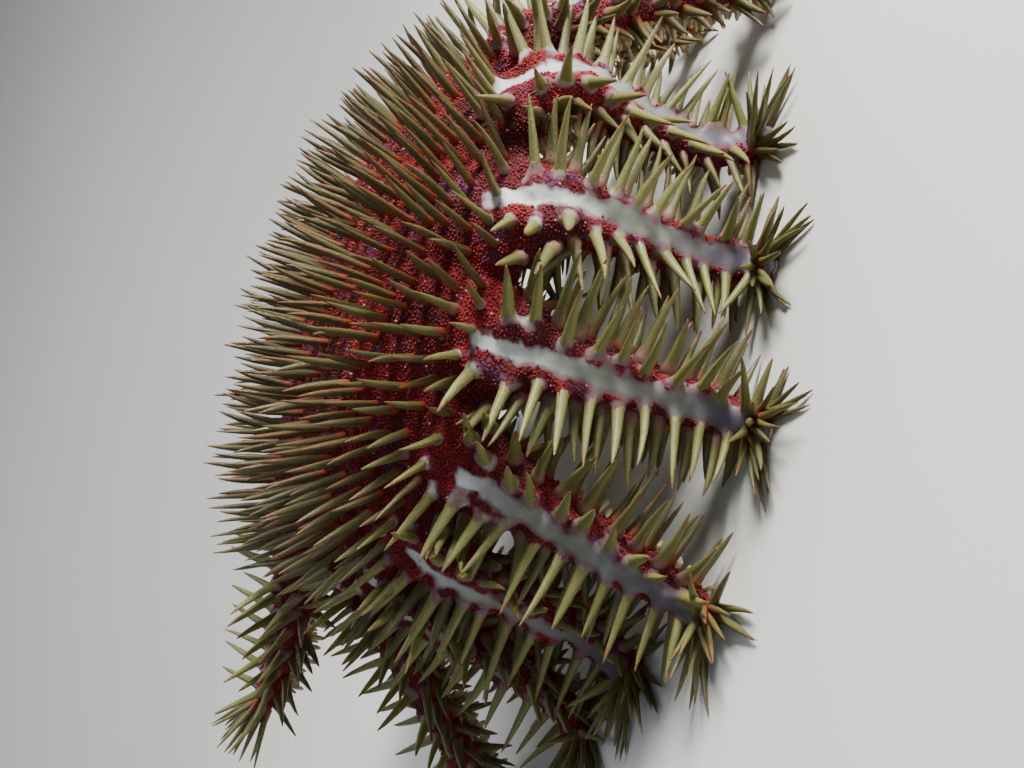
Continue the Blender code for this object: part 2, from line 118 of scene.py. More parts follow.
# Spines
SPINE_SEED = 5
DISC_SPINES = 122
DISC_REACH = 59.0
RAY_ROWS = (65.0, 73.0, 81.0, 89.0, 97.0, 105.0)
SPINE_SPACING = 8.6
ROW_OFFSET = 0.18            # how far a row's spines stand aside from those of the next row
ROW_SHARE = 0.92             # share of a ray's width that a row of spines takes
ROW_STRAY = 0.05
RAY_STRAY = 1.6              # most that a spine strays along a ray, and along an arm
ARM_STRAY = 1.7
RAY_LEAN = 20.0              # sideways lean in degrees at the edge of a ray's furrow
EDGE_LENGTH = 0.94           # length and radius of the spines at the disc's edge, as shares
EDGE_RADIUS = 1.12
TURN_STRAY = 8.0             # most that an arm's spine strays round the arm, in degrees
LEAN_STRAY = 11.0
FORWARD = (-0.06, 0.22)      # how far spines lean towards the arm's tip, first and last
FAR_LENGTH = 0.88            # length, radius and step of the spines near an arm's tip, as shares
FAR_RADIUS = 0.78
FAR_STEP = 0.86
ROOT_LENGTH = 0.92           # share of the length of an arm's first spines
FLANK_SIZE = 0.95            # rows with spines shorter than this have thinner ones
FLANK_RADIUS = 0.9
FLAT_TURN = 60.0             # degrees round an arm for each half width when spread flat
TIP_FAN = 230.0              # spread of the spines round an arm's tip, in degrees
TIP_RADIUS = 0.64
TIP_PALE = 0.3
TIP_SPINES = 17
SPINE_FLATTEN = 0.84
SPINE_SIDES = 8
# Angle round the arm, lean, step, share of the length, share of pale root, first step
ARM_ROWS = ((28, 47, 9.0, 1.2, 1.0, 2.0), (72, 76, 9.5, 1.06, 0.45, 6.0),
            (98, 98, 9.5, 0.96, 0.2, 8.0), (126, 116, 8.5, 0.86, 0.1, 9.0))
# Height and radius of the turned spines, as shares of their length and radius
ARM_PROFILE = ((-0.1, 0.0), (-0.06, 1.5), (0.08, 1.22), (0.22, 0.95), (0.5, 0.74), (0.8, 0.44),
               (0.96, 0.17), (1.0, 0.0))
DISC_PROFILE = ((-0.1, 0.0), (-0.06, 1.15), (0.1, 1.0), (0.42, 0.92), (0.66, 0.74), (0.86, 0.42),
                (0.97, 0.15), (1.0, 0.0))
LENGTH_SPREAD = (0.86, 1.1)
RADIUS_SPREAD = (0.9, 1.1)
BEND = 0.07                  # most that a spine's point strays, as a share of its length
DISC_JITTER = 0.1            # spread of the directions round the normal
ROW_JITTER = 0.05
TIP_JITTER = 0.08
LEAN_TRIES = 40
LEAN_STEP = 0.06
RAY_PALE = 0.3               # spines of the disc paler than this are in the rays' group

# Skin
FLAT_SPAN = 470.0            # side of the square that holds the animal spread flat
MERGE = 1e-6
DISC_END = 113.0             # arc where the disc's back and underside meet between the arms
DISC_ROUND = 9.0
DISC_GRID = (150, 270)       # facets of a sheet, along and round
ARM_GRID = (72, 36)
ARM_OVERLAP = 15.0
ARM_SUNK = 2.5
SUNK_LENGTH = 16.0
# Shares of an arm's sheet: its inner end, its shaft, and the start and length of its tip
INNER_END, SHAFT, TIP_START, TIP_SHARE = 0.04, 0.91, 0.95, 0.05
TIP_ROUND = 4.0
DISC_SAMPLES = 180
ARM_SAMPLES = 28
SAMPLE_STEP = 2.0
SKIN_EASE = (0.5, 4)         # how much, and how often, the joined skin is smoothed
UNDER_ANGLE = 112.0          # degrees round an arm where its pale underside starts
UNDER_EASE = 16.0
RIDGE_HALF = 4.0             # half width of the bare ridge between the spines' roots
RIDGE_GROWTH = 0.9           # how fast the ridge widens where it starts
NO_RIDGE = -9.0
RIDGE_START = 106.0
RIDGE_STARTS = {1: 100.0, 2: 101.0, 13: 112.0, 14: 114.0}     # arms whose ridge starts elsewhere
RIDGE_SHARES_AND_SHADE = {9: 0.4, 10: 0.2, 11: 0.15, 12: 0.4, 13: 0.85}     # arms whose pale ridge is narrower: real ridges vary, and the narrower pale band on these lower arms also paints their shade
ARM_RING = 1.75              # bare skin round a root, in radii of its spine
DISC_RING = 1.1
RING_MOST = 3.0
RING_PALE = 0.2              # spines with roots paler than this have it
STUB_HEIGHT = 3.1            # the skin's cone round an arm's spine, in radii of the spine
STUB_PALE = 0.6              # spines with roots paler than this have one
STUB_MARKS = (0.0, 0.5, 1.0)
RAGGED_SIZE = 0.0045         # how the edge of the bare skin wanders
RAGGED_DEPTH = 1.8
STUB_PROFILE = ((-0.5, 0.0), (-0.5, 2.6), (0.0, 2.0), (0.4, 1.35), (1.0, 0.95), (1.0, 0.0))
LUMP_SIZE = 0.004
LUMP_HEIGHT = 0.0006
LUMP_EASE = 0.75             # how much lower the lumps are on bare skin
LUMP_FLOOR = 0.004           # they fade out this near the floor
PATCH = 0.003                # side of a small piece's patch in the map that bakes read
PATCH_LENGTH = 3.0
GRANULE_SEED = 3
GRANULE_SIZES = (0.65, 1.2)
GRANULE_STRETCH = 1.35
GRANULE_RISE = 0.3           # how far a granule stands out, in its radii
GRANULE_DENSITY = 2.2        # points tried in a square whose side is the spacing
GRANULE_SECTORS = 7

# Underside
FOOT_SEED = 9
FOOT_PROFILE = ((-0.1, 0.0), (-0.1, 1.0), (0.4, 0.8), (0.82, 0.7), (0.88, 1.35), (0.97, 1.45), (0.97, 0.0))
PEG_PROFILE = ((-0.1, 0.0), (-0.1, 0.9), (0.5, 1.0), (0.85, 0.75), (0.98, 0.35), (1.0, 0.0))
UNDER_FIRST = 30.0
UNDER_STEP = 6.5
BETWEEN_FIRST = 48.0
SHORT_SPREAD = (0.8, 1.1)
PEG_SHARE = 0.75             # how often a foot has a blunt spine beside it
PEG_SPACING = 3.2            # between two spines round the mouth
MOUTH_RINGS = (13.0, 16.5)
MOUTH_LIP = 8.0

# Colours that no panel row sets
PALE_GRAIN = (0.5, 0.36, 0.42)
OLIVE_LIGHT = (0.33, 0.31, 0.11)
RIDGE_GREY = (0.2, 0.21, 0.18)
RIDGE_EDGE = (0.16, 0.08, 0.1)
ROOT_RED = (0.26, 0.045, 0.014)
MOUTH_PALE = (0.5, 0.3, 0.22)
MOUTH_DARK = (0.2, 0.07, 0.06)

# Stage
AIM = Vector((0.0, 0.0, 0.06))
VIEW_SHIFT = (0.0284, -0.0469)
STAGE_SIZE = (8.0, -8.0, 1.0, 2.6, 6.0)     # half width, near and far ends, bend, height of the wall
BEND_STEPS = 12
# Name, place, side, power and colour
LIGHTS = (("key", (1.1, -0.42, 0.64), 0.4, 54.0, (1.0, 0.97, 0.92)),
          ("fill", (-0.6, -1.4, 0.9), 1.0, 2.0, (0.85, 0.93, 1.0)),
          ("wall", (0.0, 1.2, 1.8), 2.0, 30.0, (1.0, 1.0, 1.0)))
SKY = (0.8, 0.88, 0.95)
SKY_STRENGTH = 0.19


def length_row(name, description, default):
    """A length in the panel."""
    return FloatProperty(name=name, description=description, default=default, unit="LENGTH")


def colour_row(name, description, default):
    """A colour in the panel."""
    return FloatVectorProperty(name=name, description=description, default=default, subtype="COLOR", size=3)


class StarfishSkin(bpy.types.PropertyGroup):
    """Sizes and colours of the skin."""
    voxel: length_row("Detail", "Size of the skin's facets", 0.00166)
    maroon: colour_row("Back", "Dark colour of the back", (0.075, 0.008, 0.011))
    red: colour_row("Bright red", "Bright colour of the back's granules", (0.3, 0.01, 0.012))
    violet: colour_row("Violet", "Colour of the violet patches", (0.1, 0.03, 0.075))
    ridge: colour_row("Ridge", "Colour of the bare ridge of an arm", (0.5, 0.52, 0.53))
    ridge_tip: colour_row("Ridge near the tip", "Colour of the ridge near its tip", (0.1, 0.09, 0.12))
    under: colour_row("Underside", "Colour of the underside", (0.5, 0.38, 0.26))


class StarfishGranules(bpy.types.PropertyGroup):
    """Sizes of the soft granules over the back."""
    spacing: length_row("Spacing", "Least distance between two granules", 0.00096)
    radius: length_row("Radius", "Radius of a granule", 0.00047)


class StarfishSpines(bpy.types.PropertyGroup):
    """Sizes and colours of the spines."""
    disc_length: length_row("Disc spines", "Length of a spine on the disc", 0.025)
    arm_length: length_row("Arm spines", "Length of a spine beside an arm's ridge", 0.0225)
    disc_radius: length_row("Disc spine radius", "Radius of a spine on the disc", 0.0015)
    arm_radius: length_row("Arm spine radius", "Radius of a spine on an arm", 0.00218)
    olive: colour_row("Shaft", "Colour of a spine on an arm", (0.195, 0.19, 0.048))
    brown: colour_row("Disc shaft", "Colour of a spine on the disc", (0.063, 0.061, 0.022))
    rust: colour_row("Tip", "Colour of a spine's tip", (0.15, 0.05, 0.012))


class StarfishUnderside(bpy.types.PropertyGroup):
    """Sizes and colours of the feet and the mouth."""
    foot_step: length_row("Foot step", "Distance between two feet of a row", 0.0034)
    foot: colour_row("Feet", "Colour of the tube feet", (0.62, 0.47, 0.26))


class StarfishStage(bpy.types.PropertyGroup):
    """Camera, floor and light."""
    distance: length_row("Camera distance", "From the camera to the middle of the animal", 0.50834)
    lens: FloatProperty(name="Lens", description="Focal length of the camera in millimetres", default=47.57)
    azimuth: FloatProperty(name="Azimuth", description="Side that the camera looks from",
                           default=radians(-5.0), subtype="ANGLE")
    elevation: FloatProperty(name="Elevation", description="Height of the camera above the level",
                             default=radians(13.76), subtype="ANGLE")
    roll: FloatProperty(name="Roll", description="Turn of the camera past a quarter turn",
                        default=radians(16.3), subtype="ANGLE")
    floor: colour_row("Floor", "Colour of the floor", (0.72, 0.73, 0.71))


def outward(azimuth):
    """The level direction away from the dome's axis."""
    return Vector((sin(radians(azimuth)), -cos(radians(azimuth)), 0.0))


def along(azimuth):
    """The level direction across an azimuth, towards the next arm."""
    return Vector((cos(radians(azimuth)), sin(radians(azimuth)), 0.0))


def smooth(t):
    """Eases from 0 to 1, level at both ends."""
    t = min(max(t, 0.0), 1.0)
    return t * t * (3.0 - 2.0 * t)


def mix(a, b, t):
    """The value a share t of the way from a to b."""
    return a + (b - a) * t


def placed(point):
    """A point of the shape formulas, in millimetres about the dome's axis, in the frame."""
    return point * MM + DOME_CENTRE


def neighbours(azimuth):
    """The index of the arm before an azimuth, and how far it lies towards the next."""
    for i, arm in enumerate(ARMS):
        span = (ARMS[(i + 1) % len(ARMS)].azimuth - arm.azimuth) % 360
        offset = (azimuth - arm.azimuth) % 360
        if offset < span:
            return i, offset / span
    raise ValueError("the arms leave no gap in azimuth")


def dome_slope(s, crown, edge):
    """The back's slope in degrees at arc s, growing past the crown."""
    if s < CROWN_ARC:
        return crown * s / CROWN_ARC
    return mix(crown, edge, (s - CROWN_ARC) / (EDGE_ARC - CROWN_ARC))


@lru_cache(maxsize=None)
def dome_profile(azimuth):
    """Radius, height and slope of the dome at every millimetre of arc."""
    i, t = neighbours(azimuth)
    arm, after = ARMS[i], ARMS[(i + 1) % len(ARMS)]
    crown = mix(arm.crown, after.crown, smooth(t))
    edge = mix(arm.edge, after.edge, smooth(t))
    rho, z, rows = 0.0, CROWN_HEIGHT, []
    for step in range(PROFILE_ROWS):
        slope = min(dome_slope(step + 0.5, crown, edge), edge)
        rows.append((rho, z, slope))
        rho += cos(radians(slope))
        z -= sin(radians(slope))
    return rows


def rounded(azimuth):
    """The azimuth that stands for all those within a thousandth of a degree."""
    return round(azimuth % 360, 3)


def dome_row(s, azimuth):
    """Radius, height and slope of the dome at arc s."""
    rows = dome_profile(rounded(azimuth))
    i = min(int(s), len(rows) - 2)
    return [mix(a, b, s - i) for a, b in zip(rows[i], rows[i + 1])]


def dome_point(s, azimuth, depth=0.0, tilt=1.0):
    """The point at arc s, sunk by depth: straight down at tilt 0, along the normal at 1."""
    rho, z, slope = dome_row(s, azimuth)
    slope *= tilt
    rho -= depth * sin(radians(slope))
    z -= depth * cos(radians(slope))
    return outward(azimuth) * rho + Vector((0, 0, z))


@lru_cache(maxsize=None)
def rim_height(azimuth):
    """The dome's height where the rays of the disc begin."""
    return next(z for rho, z, _ in dome_profile(rounded(azimuth)) if rho >= RIM)


MIDDLE_UNDER = sum(rim_height(12 * k) for k in range(30)) / 30 - DISC_THICKNESS


def furrow(s):
    """How deep the back dips between two rays at arc s."""
    return FURROW_DEPTH * smooth((s - FURROW_START) / (EDGE_ARC - FURROW_START))


def ray_place(azimuth):
    """The nearest ray's index and the share of its half wedge, from -1 to 1."""
    i, t = neighbours(azimuth)
    return (i, 2 * t) if t < 0.5 else ((i + 1) % len(ARMS), 2 * t - 2)


def back_point(s, azimuth):
    """A point of the disc's back."""
    t = ray_place(azimuth)[1]
    return dome_point(s, azimuth, furrow(s) * t * t)


def under_point(s, azimuth):
    """The disc's underside: flat in the middle, with a furrow along every ray."""
    rho = dome_row(s, azimuth)[0]
    index, t = ray_place(azimuth)
    half = rays()[index].half(t)
    across = abs(rho * sin(radians(t * half)))
    fade = smooth((rho - MOUTH_RADIUS) / GROOVE_FADE)
    groove = GROOVE_DEPTH * (1 - smooth(across / GROOVE_WIDTH)) * fade
    if rho < RIM:
        z = mix(MIDDLE_UNDER, rim_height(azimuth) - DISC_THICKNESS, rho / RIM)
        start, rise = [MOUTH_RADIUS * share for share in RECESS]
        recess = MOUTH_DEPTH * (1 - smooth((rho - start) / rise))
        return outward(azimuth) * rho + Vector((0, 0, z + groove + recess))
    inner = smooth((s - RIM) / (SPLIT_ARC - RIM))
    depth = mix(DISC_THICKNESS, EDGE_THICKNESS, inner) - groove
    return dome_point(s, azimuth, depth, inner)


class Ray:
    """One arm's ridge line, its wedge of the disc and its cross-sections."""

    def __init__(self, index):
        self.index = index
        self.arm = ARMS[index]
        before, after = ARMS[index - 1], ARMS[(index + 1) % len(ARMS)]
        self.half_low = ((self.arm.azimuth - before.azimuth) % 360) / 2
        self.half_high = ((after.azimuth - self.arm.azimuth) % 360) / 2
        self.walls = (along(self.arm.azimuth - self.half_low), -along(self.arm.azimuth + self.half_high))
        self.length = self.arm.held or self.find_length()
        self.line = self.walk(self.length)

    def half(self, t):
        """The half wedge in degrees on the side that t is on."""
        return self.half_high if t > 0 else self.half_low

    def azimuth(self, t):
        """The azimuth a share t of the way across the half wedge."""
        return self.arm.azimuth + t * self.half(t)

    def slope(self, s, length):
        """The ridge's slope in degrees: over the edge, down the arm and level at the toe."""
        arm = self.arm
        value = dome_slope(min(s, EDGE_ARC), arm.crown, arm.edge)
        value = mix(value, arm.hang, smooth((s - EDGE_ARC) / (HANG_ARC - EDGE_ARC)))
        value = mix(value, arm.tip, smooth((s - length + TURN_LENGTH) / (TURN_LENGTH - TOE_LENGTH)))
        if arm.held:
            return value
        return mix(value, TOE_SLOPE, smooth((s - length + TOE_LENGTH) / (TOE_LENGTH * TOE_EASE)))

    def walk(self, length):
        """Point, slope and heading at every millimetre of the ridge."""
        point, rows = Vector((0, 0, CROWN_HEIGHT)), []
        for step in range(int(ceil(length)) + 2):
            s = step + 0.5
            slope = self.slope(s, length)
            heading = self.arm.azimuth + self.arm.sweep * max(0.0, s - EDGE_ARC) / SWEEP_LENGTH
            rows.append((point.copy(), slope, heading))
            point = point + outward(heading) * cos(radians(slope)) - Vector((0, 0, sin(radians(slope))))
        return rows

    def find_length(self):
        """The length that brings the ridge down to the toe's height."""
        low, high = [EDGE_ARC + length for length in FREE_LENGTHS]
        for _ in range(LENGTH_TRIES):
            middle = (low + high) / 2
            if self.walk(middle)[int(middle)][0].z > TOE_HEIGHT:
                low = middle
            else:
                high = middle
        return low

    def frame(self, s):
        """Ridge point, direction along, direction across and normal at arc s."""
        i = min(int(s), len(self.line) - 2)
        here, there = self.line[i], self.line[i + 1]
        point = here[0].lerp(there[0], s - i)
        slope = radians(mix(here[1], there[1], s - i))
        heading = mix(here[2], there[2], s - i)
        forward = outward(heading) * cos(slope) - Vector((0, 0, sin(slope)))
        normal = outward(heading) * sin(slope) + Vector((0, 0, cos(slope)))
        return point, forward, along(heading), normal

    def fraction(self, s):
        """How far arc s lies from the dome's edge to the arm's tip."""
        return min(max((s - EDGE_ARC) / (self.length - EDGE_ARC), 0.0), 1.0)

    def taper(self, s):
        """Half width and height of the arm at arc s."""
        q = self.fraction(s)
        for (q0, w0, h0), (q1, w1, h1) in zip(ARM_TAPER, ARM_TAPER[1:]):
            if q <= q1:
                t = max(0.0, (q - q0) / (q1 - q0))
                return mix(w0, w1, t), mix(h0, h1, t)
        return ARM_TAPER[-1][1:]

    def arm_point(self, s, angle):
        """A point round the free arm: angle 0 is the ridge and 180 the middle underneath."""
        point, _, across, normal = self.frame(s)
        width, height = self.taper(s)
        a = radians(angle)
        if abs(angle) <= 90:
            x, n = width * sin(a), -height * 0.5 * (1 - cos(a)) ** BACK_POWER
        else:
            x = width * sin(a) ** SIDE_POWER if sin(a) > 0 else -width * abs(sin(a)) ** SIDE_POWER
            x *= UNDER_WIDTH
            n = -height * (0.5 + 0.5 * abs(cos(a)) ** UNDER_POWER)
            fade = smooth((self.length - s) / GROOVE_FADE)
            n += GROOVE_DEPTH * (1 - smooth(abs(x) / GROOVE_WIDTH)) * fade
        return point + across * x + normal * n


@lru_cache(maxsize=None)
def rays():
    """All the rays, made once."""
    return [Ray(i) for i in range(len(ARMS))]


# Spines: where they stand and how they lean

Spine = namedtuple("Spine", "group root direction length radius pale flat twist bend tint")
SUNFLOWER = degrees(pi * (3 - sqrt(5)))


def flat_place(azimuth, s, aside):
    """Where a point lies on the animal spread flat, as a share of a square that holds it."""
    point = outward(azimuth) * s + along(azimuth) * aside
    return Vector((0.5 + point.x / FLAT_SPAN, 0.5 + point.y / FLAT_SPAN))


def surface_normal(s, azimuth):
    """The way out of the dome at arc s."""
    slope = radians(dome_row(s, azimuth)[2])
    return outward(azimuth) * sin(slope) + Vector((0, 0, cos(slope)))


def jitter(rng, direction, spread):
    """The direction, turned a little at random."""
    return (direction + Vector([rng.gauss(0, spread) for _ in range(3)])).normalized()


def keep_inside(ray, root, direction, length):
    """Leans a spine until its point is near its own wedge and above the floor."""
    for _ in range(LEAN_TRIES):
        tip = root + direction * length
        push = Vector()
        for wall in ray.walls if ray else ():
            if tip.dot(wall) < -WEDGE_REACH:
                push += wall
        if tip.z < TIP_CLEARANCE:
            push += Vector((0, 0, 1))
        if push.length == 0:
            return direction
        direction = (direction + push * LEAN_STEP).normalized()
    return None


def make_spine(rng, group, ray, root, direction, length, radius, pale, flat):
    """One spine in a list, or none where it would stand in its neighbour's place."""
    length *= rng.uniform(*LENGTH_SPREAD)
    direction = keep_inside(ray, root, direction, length)
    if direction is None:
        return []
    bend = Vector([rng.uniform(-BEND, BEND) for _ in range(3)])
    radius *= rng.uniform(*RADIUS_SPREAD)
    twist, tint = rng.uniform(0, pi), rng.random()
    return [Spine(group, root, direction, length, radius, pale, flat, twist, bend, tint)]


def disc_spines(rng, length, radius):
    """A sunflower of spines over the middle, and rows across each ray."""
    found = []
    for k in range(DISC_SPINES):
        rho = DISC_REACH * sqrt((k + 0.5) / DISC_SPINES)
        azimuth = k * SUNFLOWER
        direction = jitter(rng, surface_normal(rho, azimuth), DISC_JITTER)
        root = back_point(rho, azimuth)
        flat = flat_place(azimuth, rho, 0)
        found += make_spine(rng, "disc", None, root, direction, length, radius, 0.0, flat)
    for ray in rays():
        for row, s in enumerate(RAY_ROWS):
            width = radians(ray.half_low + ray.half_high) * dome_row(s, ray.arm.azimuth)[0]
            count = max(2, round(width / SPINE_SPACING))
            for k in range(count):
                t = (k + 0.5 + (ROW_OFFSET if row % 2 else -ROW_OFFSET)) / count * 2 - 1
                t = t * ROW_SHARE + rng.uniform(-ROW_STRAY, ROW_STRAY)
                arc = s + rng.uniform(-RAY_STRAY, RAY_STRAY)
                lean = t * RAY_LEAN * furrow(arc) / FURROW_DEPTH
                azimuth = ray.azimuth(t)
                direction = surface_normal(arc, azimuth) * cos(radians(lean))
                direction += along(azimuth) * sin(radians(lean))
                pale = 0.75 * smooth((arc - 92) / 10) * smooth(1.4 - abs(t) * 1.6)
                group = "disc" if pale < RAY_PALE else "rays"
                direction = jitter(rng, direction, ROW_JITTER)
                reach = mix(length, length * EDGE_LENGTH, smooth((arc - 60) / 40))
                found += make_spine(rng, group, ray, back_point(arc, azimuth), direction, reach,
                                    radius * mix(1, EDGE_RADIUS, pale), pale, flat_place(azimuth, arc, 0))
    return found


def arm_spines(rng, ray, length, radius):
    """Rows beside the ridge, down both flanks and under them, and a tuft at the tip."""
    group = f"arm_{ray.index + 1:02d}"
    found = []
    for angle, lean, step, size, pale, shift in ARM_ROWS:
        for side in (-1, 1):
            s = SPLIT_ARC + shift + (step / 2 if side > 0 else 0)
            while s < ray.length - 4:
                q = ray.fraction(s)
                arc = s + rng.uniform(-ARM_STRAY, ARM_STRAY)
                turned = side * angle + rng.uniform(-TURN_STRAY, TURN_STRAY)
                _, forward, across, normal = ray.frame(arc)
                tilt = radians(side * lean + rng.uniform(-LEAN_STRAY, LEAN_STRAY))
                direction = normal * cos(tilt) + across * sin(tilt) + forward * mix(*FORWARD, q)
                reach = length * size * mix(1.0, FAR_LENGTH, smooth(q * 1.1 - 0.1))
                if arc < SPLIT_ARC + 12:
                    reach *= ROOT_LENGTH
                aside = ray.taper(arc)[0] * turned / FLAT_TURN
                direction = jitter(rng, direction, ROW_JITTER)
                thick = radius * mix(1.0, FAR_RADIUS, q) * (FLANK_RADIUS if size < FLANK_SIZE else 1.0)
                found += make_spine(rng, group, ray, ray.arm_point(arc, turned), direction, reach,
                                    thick, pale, flat_place(ray.arm.azimuth, arc, aside))
                s += step * mix(1.0, FAR_STEP, q)
    for k in range(TIP_SPINES):
        angle = (k + 0.5) / TIP_SPINES * TIP_FAN - TIP_FAN / 2
        _, forward, across, normal = ray.frame(ray.length - 1)
        tilt = radians(angle * 0.9)
        spread = 0.55 + 0.35 * (k % 2)
        direction = forward + (normal * cos(tilt) + across * sin(tilt)) * spread
        root = ray.arm_point(ray.length - 1.5 - 2.5 * (k % 2), angle)
        direction = jitter(rng, direction, TIP_JITTER)
        flat = flat_place(ray.arm.azimuth, ray.length, angle / 12)
        found += make_spine(rng, group, ray, root, direction, length, radius * TIP_RADIUS, TIP_PALE, flat)
    return found


@lru_cache(maxsize=None)
def spines_sized(disc_length, disc_radius, arm_length, arm_radius):
    """Every spine of the animal, in millimetres about the dome's axis."""
    rng = random.Random(SPINE_SEED)
    found = disc_spines(rng, disc_length, disc_radius)
    for ray in rays():
        found += arm_spines(rng, ray, arm_length, arm_radius)
    return found


def all_spines():
    """Every spine, at the panel's sizes."""
    sizes = bpy.context.scene.starfish_spines
    return spines_sized(sizes.disc_length / MM, sizes.disc_radius / MM, sizes.arm_length / MM,
                        sizes.arm_radius / MM)


# Mesh helpers

def linked(name, data):
    """A new object in the scene."""
    thing = bpy.data.objects.new(name, data)
    bpy.context.scene.collection.objects.link(thing)
    return thing


def mesh_from(bm, name):
    """A new mesh with what bm holds, and bm freed."""
    mesh = bpy.data.meshes.new(name)
    bm.to_mesh(mesh)
    bm.free()
    return mesh


def warped_grid(bm, rows, columns, place):
    """A grid bent by place(u, v), u and v from 0 to 1, with its seam and poles merged."""
    made = bmesh.ops.create_grid(bm, x_segments=rows, y_segments=columns, size=0.5)
    for vertex in made["verts"]:
        vertex.co = place(vertex.co.x + 0.5, vertex.co.y + 0.5)
    bmesh.ops.remove_doubles(bm, verts=made["verts"], dist=MERGE)


def turned_shape(profile, sides):
    """A mesh turned round Z from a profile of height and radius."""
    bm = bmesh.new()
    line = [bm.verts.new((radius, 0, height)) for height, radius in profile]
    edges = [bm.edges.new(pair) for pair in zip(line, line[1:])]
    bmesh.ops.spin(bm, geom=line + edges, cent=(0, 0, 0), axis=(0, 0, 1), angle=2 * pi, steps=sides,
                   use_merge=True)
    bmesh.ops.remove_doubles(bm, verts=bm.verts, dist=MERGE)
    bmesh.ops.recalc_face_normals(bm, faces=bm.faces)
    return mesh_from(bm, "turned")


def array_of(template, items, place):
    """The template once for each item, each copy moved by place(item, points), as one mesh."""
    thing = linked("copies", template)
    row = thing.modifiers.new("row", "ARRAY")
    row.use_relative_offset = False
    row.count = len(items)
    mesh = evaluated_mesh(thing)
    shape = np.array([vertex.co for vertex in template.vertices])
    points = np.vstack([place(item, shape) for item in items]) * MM + np.array(DOME_CENTRE)
    mesh.vertices.foreach_set("co", points.ravel())
    mesh.update()
    return mesh


def stretched(shape, root, direction, length, radius, twist=0.0, flatten=1.0, bend=(0.0, 0.0, 0.0)):
    """The points of an upright shape laid along a direction from its root."""
    side = direction.orthogonal().normalized()
    side.rotate(Matrix.Rotation(twist, 3, direction))
    other = direction.cross(side)
    x, y, z = shape.T
    round_part = np.outer(x, side) + np.outer(y * flatten, other)
    bent = np.outer(z, direction) + np.outer(z * z * np.maximum(z, 0), bend)
    points = np.array(root) + round_part * radius + bent * length
    points[:, 2] = np.maximum(points[:, 2], FLOOR_CLEARANCE)
    return points


def piece_of(name, mesh, material):
    """A visible piece that rides on the part's one body."""
    mesh.name = name
    mesh.shade_smooth()
    mesh.materials.clear()
    mesh.materials.append(material)
    piece = linked(name, mesh)
    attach(piece, "root")
    return piece


def evaluated_mesh(thing):
    """The object's mesh with its modifiers applied, and the object removed."""
    depsgraph = bpy.context.evaluated_depsgraph_get()
    mesh = bpy.data.meshes.new_from_object(thing.evaluated_get(depsgraph), depsgraph=depsgraph)
    bpy.data.objects.remove(thing)
    return mesh


def set_values(mesh, name, values, kind="FLOAT"):
    """Stores a value, or a vector, for each vertex."""
    attribute = mesh.attributes.new(name, kind, "POINT")
    attribute.data.foreach_set("vector" if kind == "FLOAT_VECTOR" else "value", np.ravel(values))


def read_values(mesh, name, width=1):
    """The values, or vectors of width 3, that set_values stored."""
    values = np.zeros(len(mesh.vertices) * width, dtype=np.float32)
    mesh.attributes[name].data.foreach_get("vector" if width == 3 else "value", values)
    return values.reshape(-1, width) if width > 1 else values


def patch_map(mesh, places):
    """Writes the map that bakes read: one place for each vertex."""
    corners = np.zeros(len(mesh.loops), dtype=np.int32)
    mesh.loops.foreach_get("vertex_index", corners)
    layer = mesh.uv_layers.new(name="OFBake")
    layer.data.foreach_set("uv", np.ravel(np.asarray(places, dtype=np.float32)[corners]))


# The skin

def disc_shape(u, v):
    """The disc as one closed sheet: out along the back and in along the underside."""
    azimuth = 360 * v
    s = DISC_END * (2 * u if u < 0.5 else 2 - 2 * u)
    back, under = back_point(s, azimuth), under_point(s, azimuth)
    pinch = max(0.0, (s - DISC_END + DISC_ROUND) / DISC_ROUND)
    share = 0.5 * (1 - sqrt(max(0.0, 1 - pinch * pinch)))
    return placed(back.lerp(under, share) if u < 0.5 else under.lerp(back, share))


def arm_shape(ray):
    """The closed sheet of one arm, from inside the disc to its rounded tip."""
    start = SPLIT_ARC - ARM_OVERLAP

    def place(u, v):
        """A point of the sheet."""
        cap = max(0.0, (INNER_END - u) / INNER_END, (u - TIP_START) / TIP_SHARE)
        along_arm = min(max((u - INNER_END) / SHAFT, 0.0), 1.0)
        s = mix(start, ray.length, along_arm)
        size = sqrt(max(0.0, 1 - cap * cap))
        point = ray.arm_point(s, 360 * v - 180)
        top, forward, _, normal = ray.frame(s)
        _, height = ray.taper(s)
        core = top - normal * height * 0.5
        point = core + (point - core) * size
        if u > TIP_START:
            point += forward * cap * TIP_ROUND
        point -= normal * ARM_SUNK * (1 - smooth((s - start) / SUNK_LENGTH))
        point.z = max(point.z, 0.0)
        return placed(point)

    return place


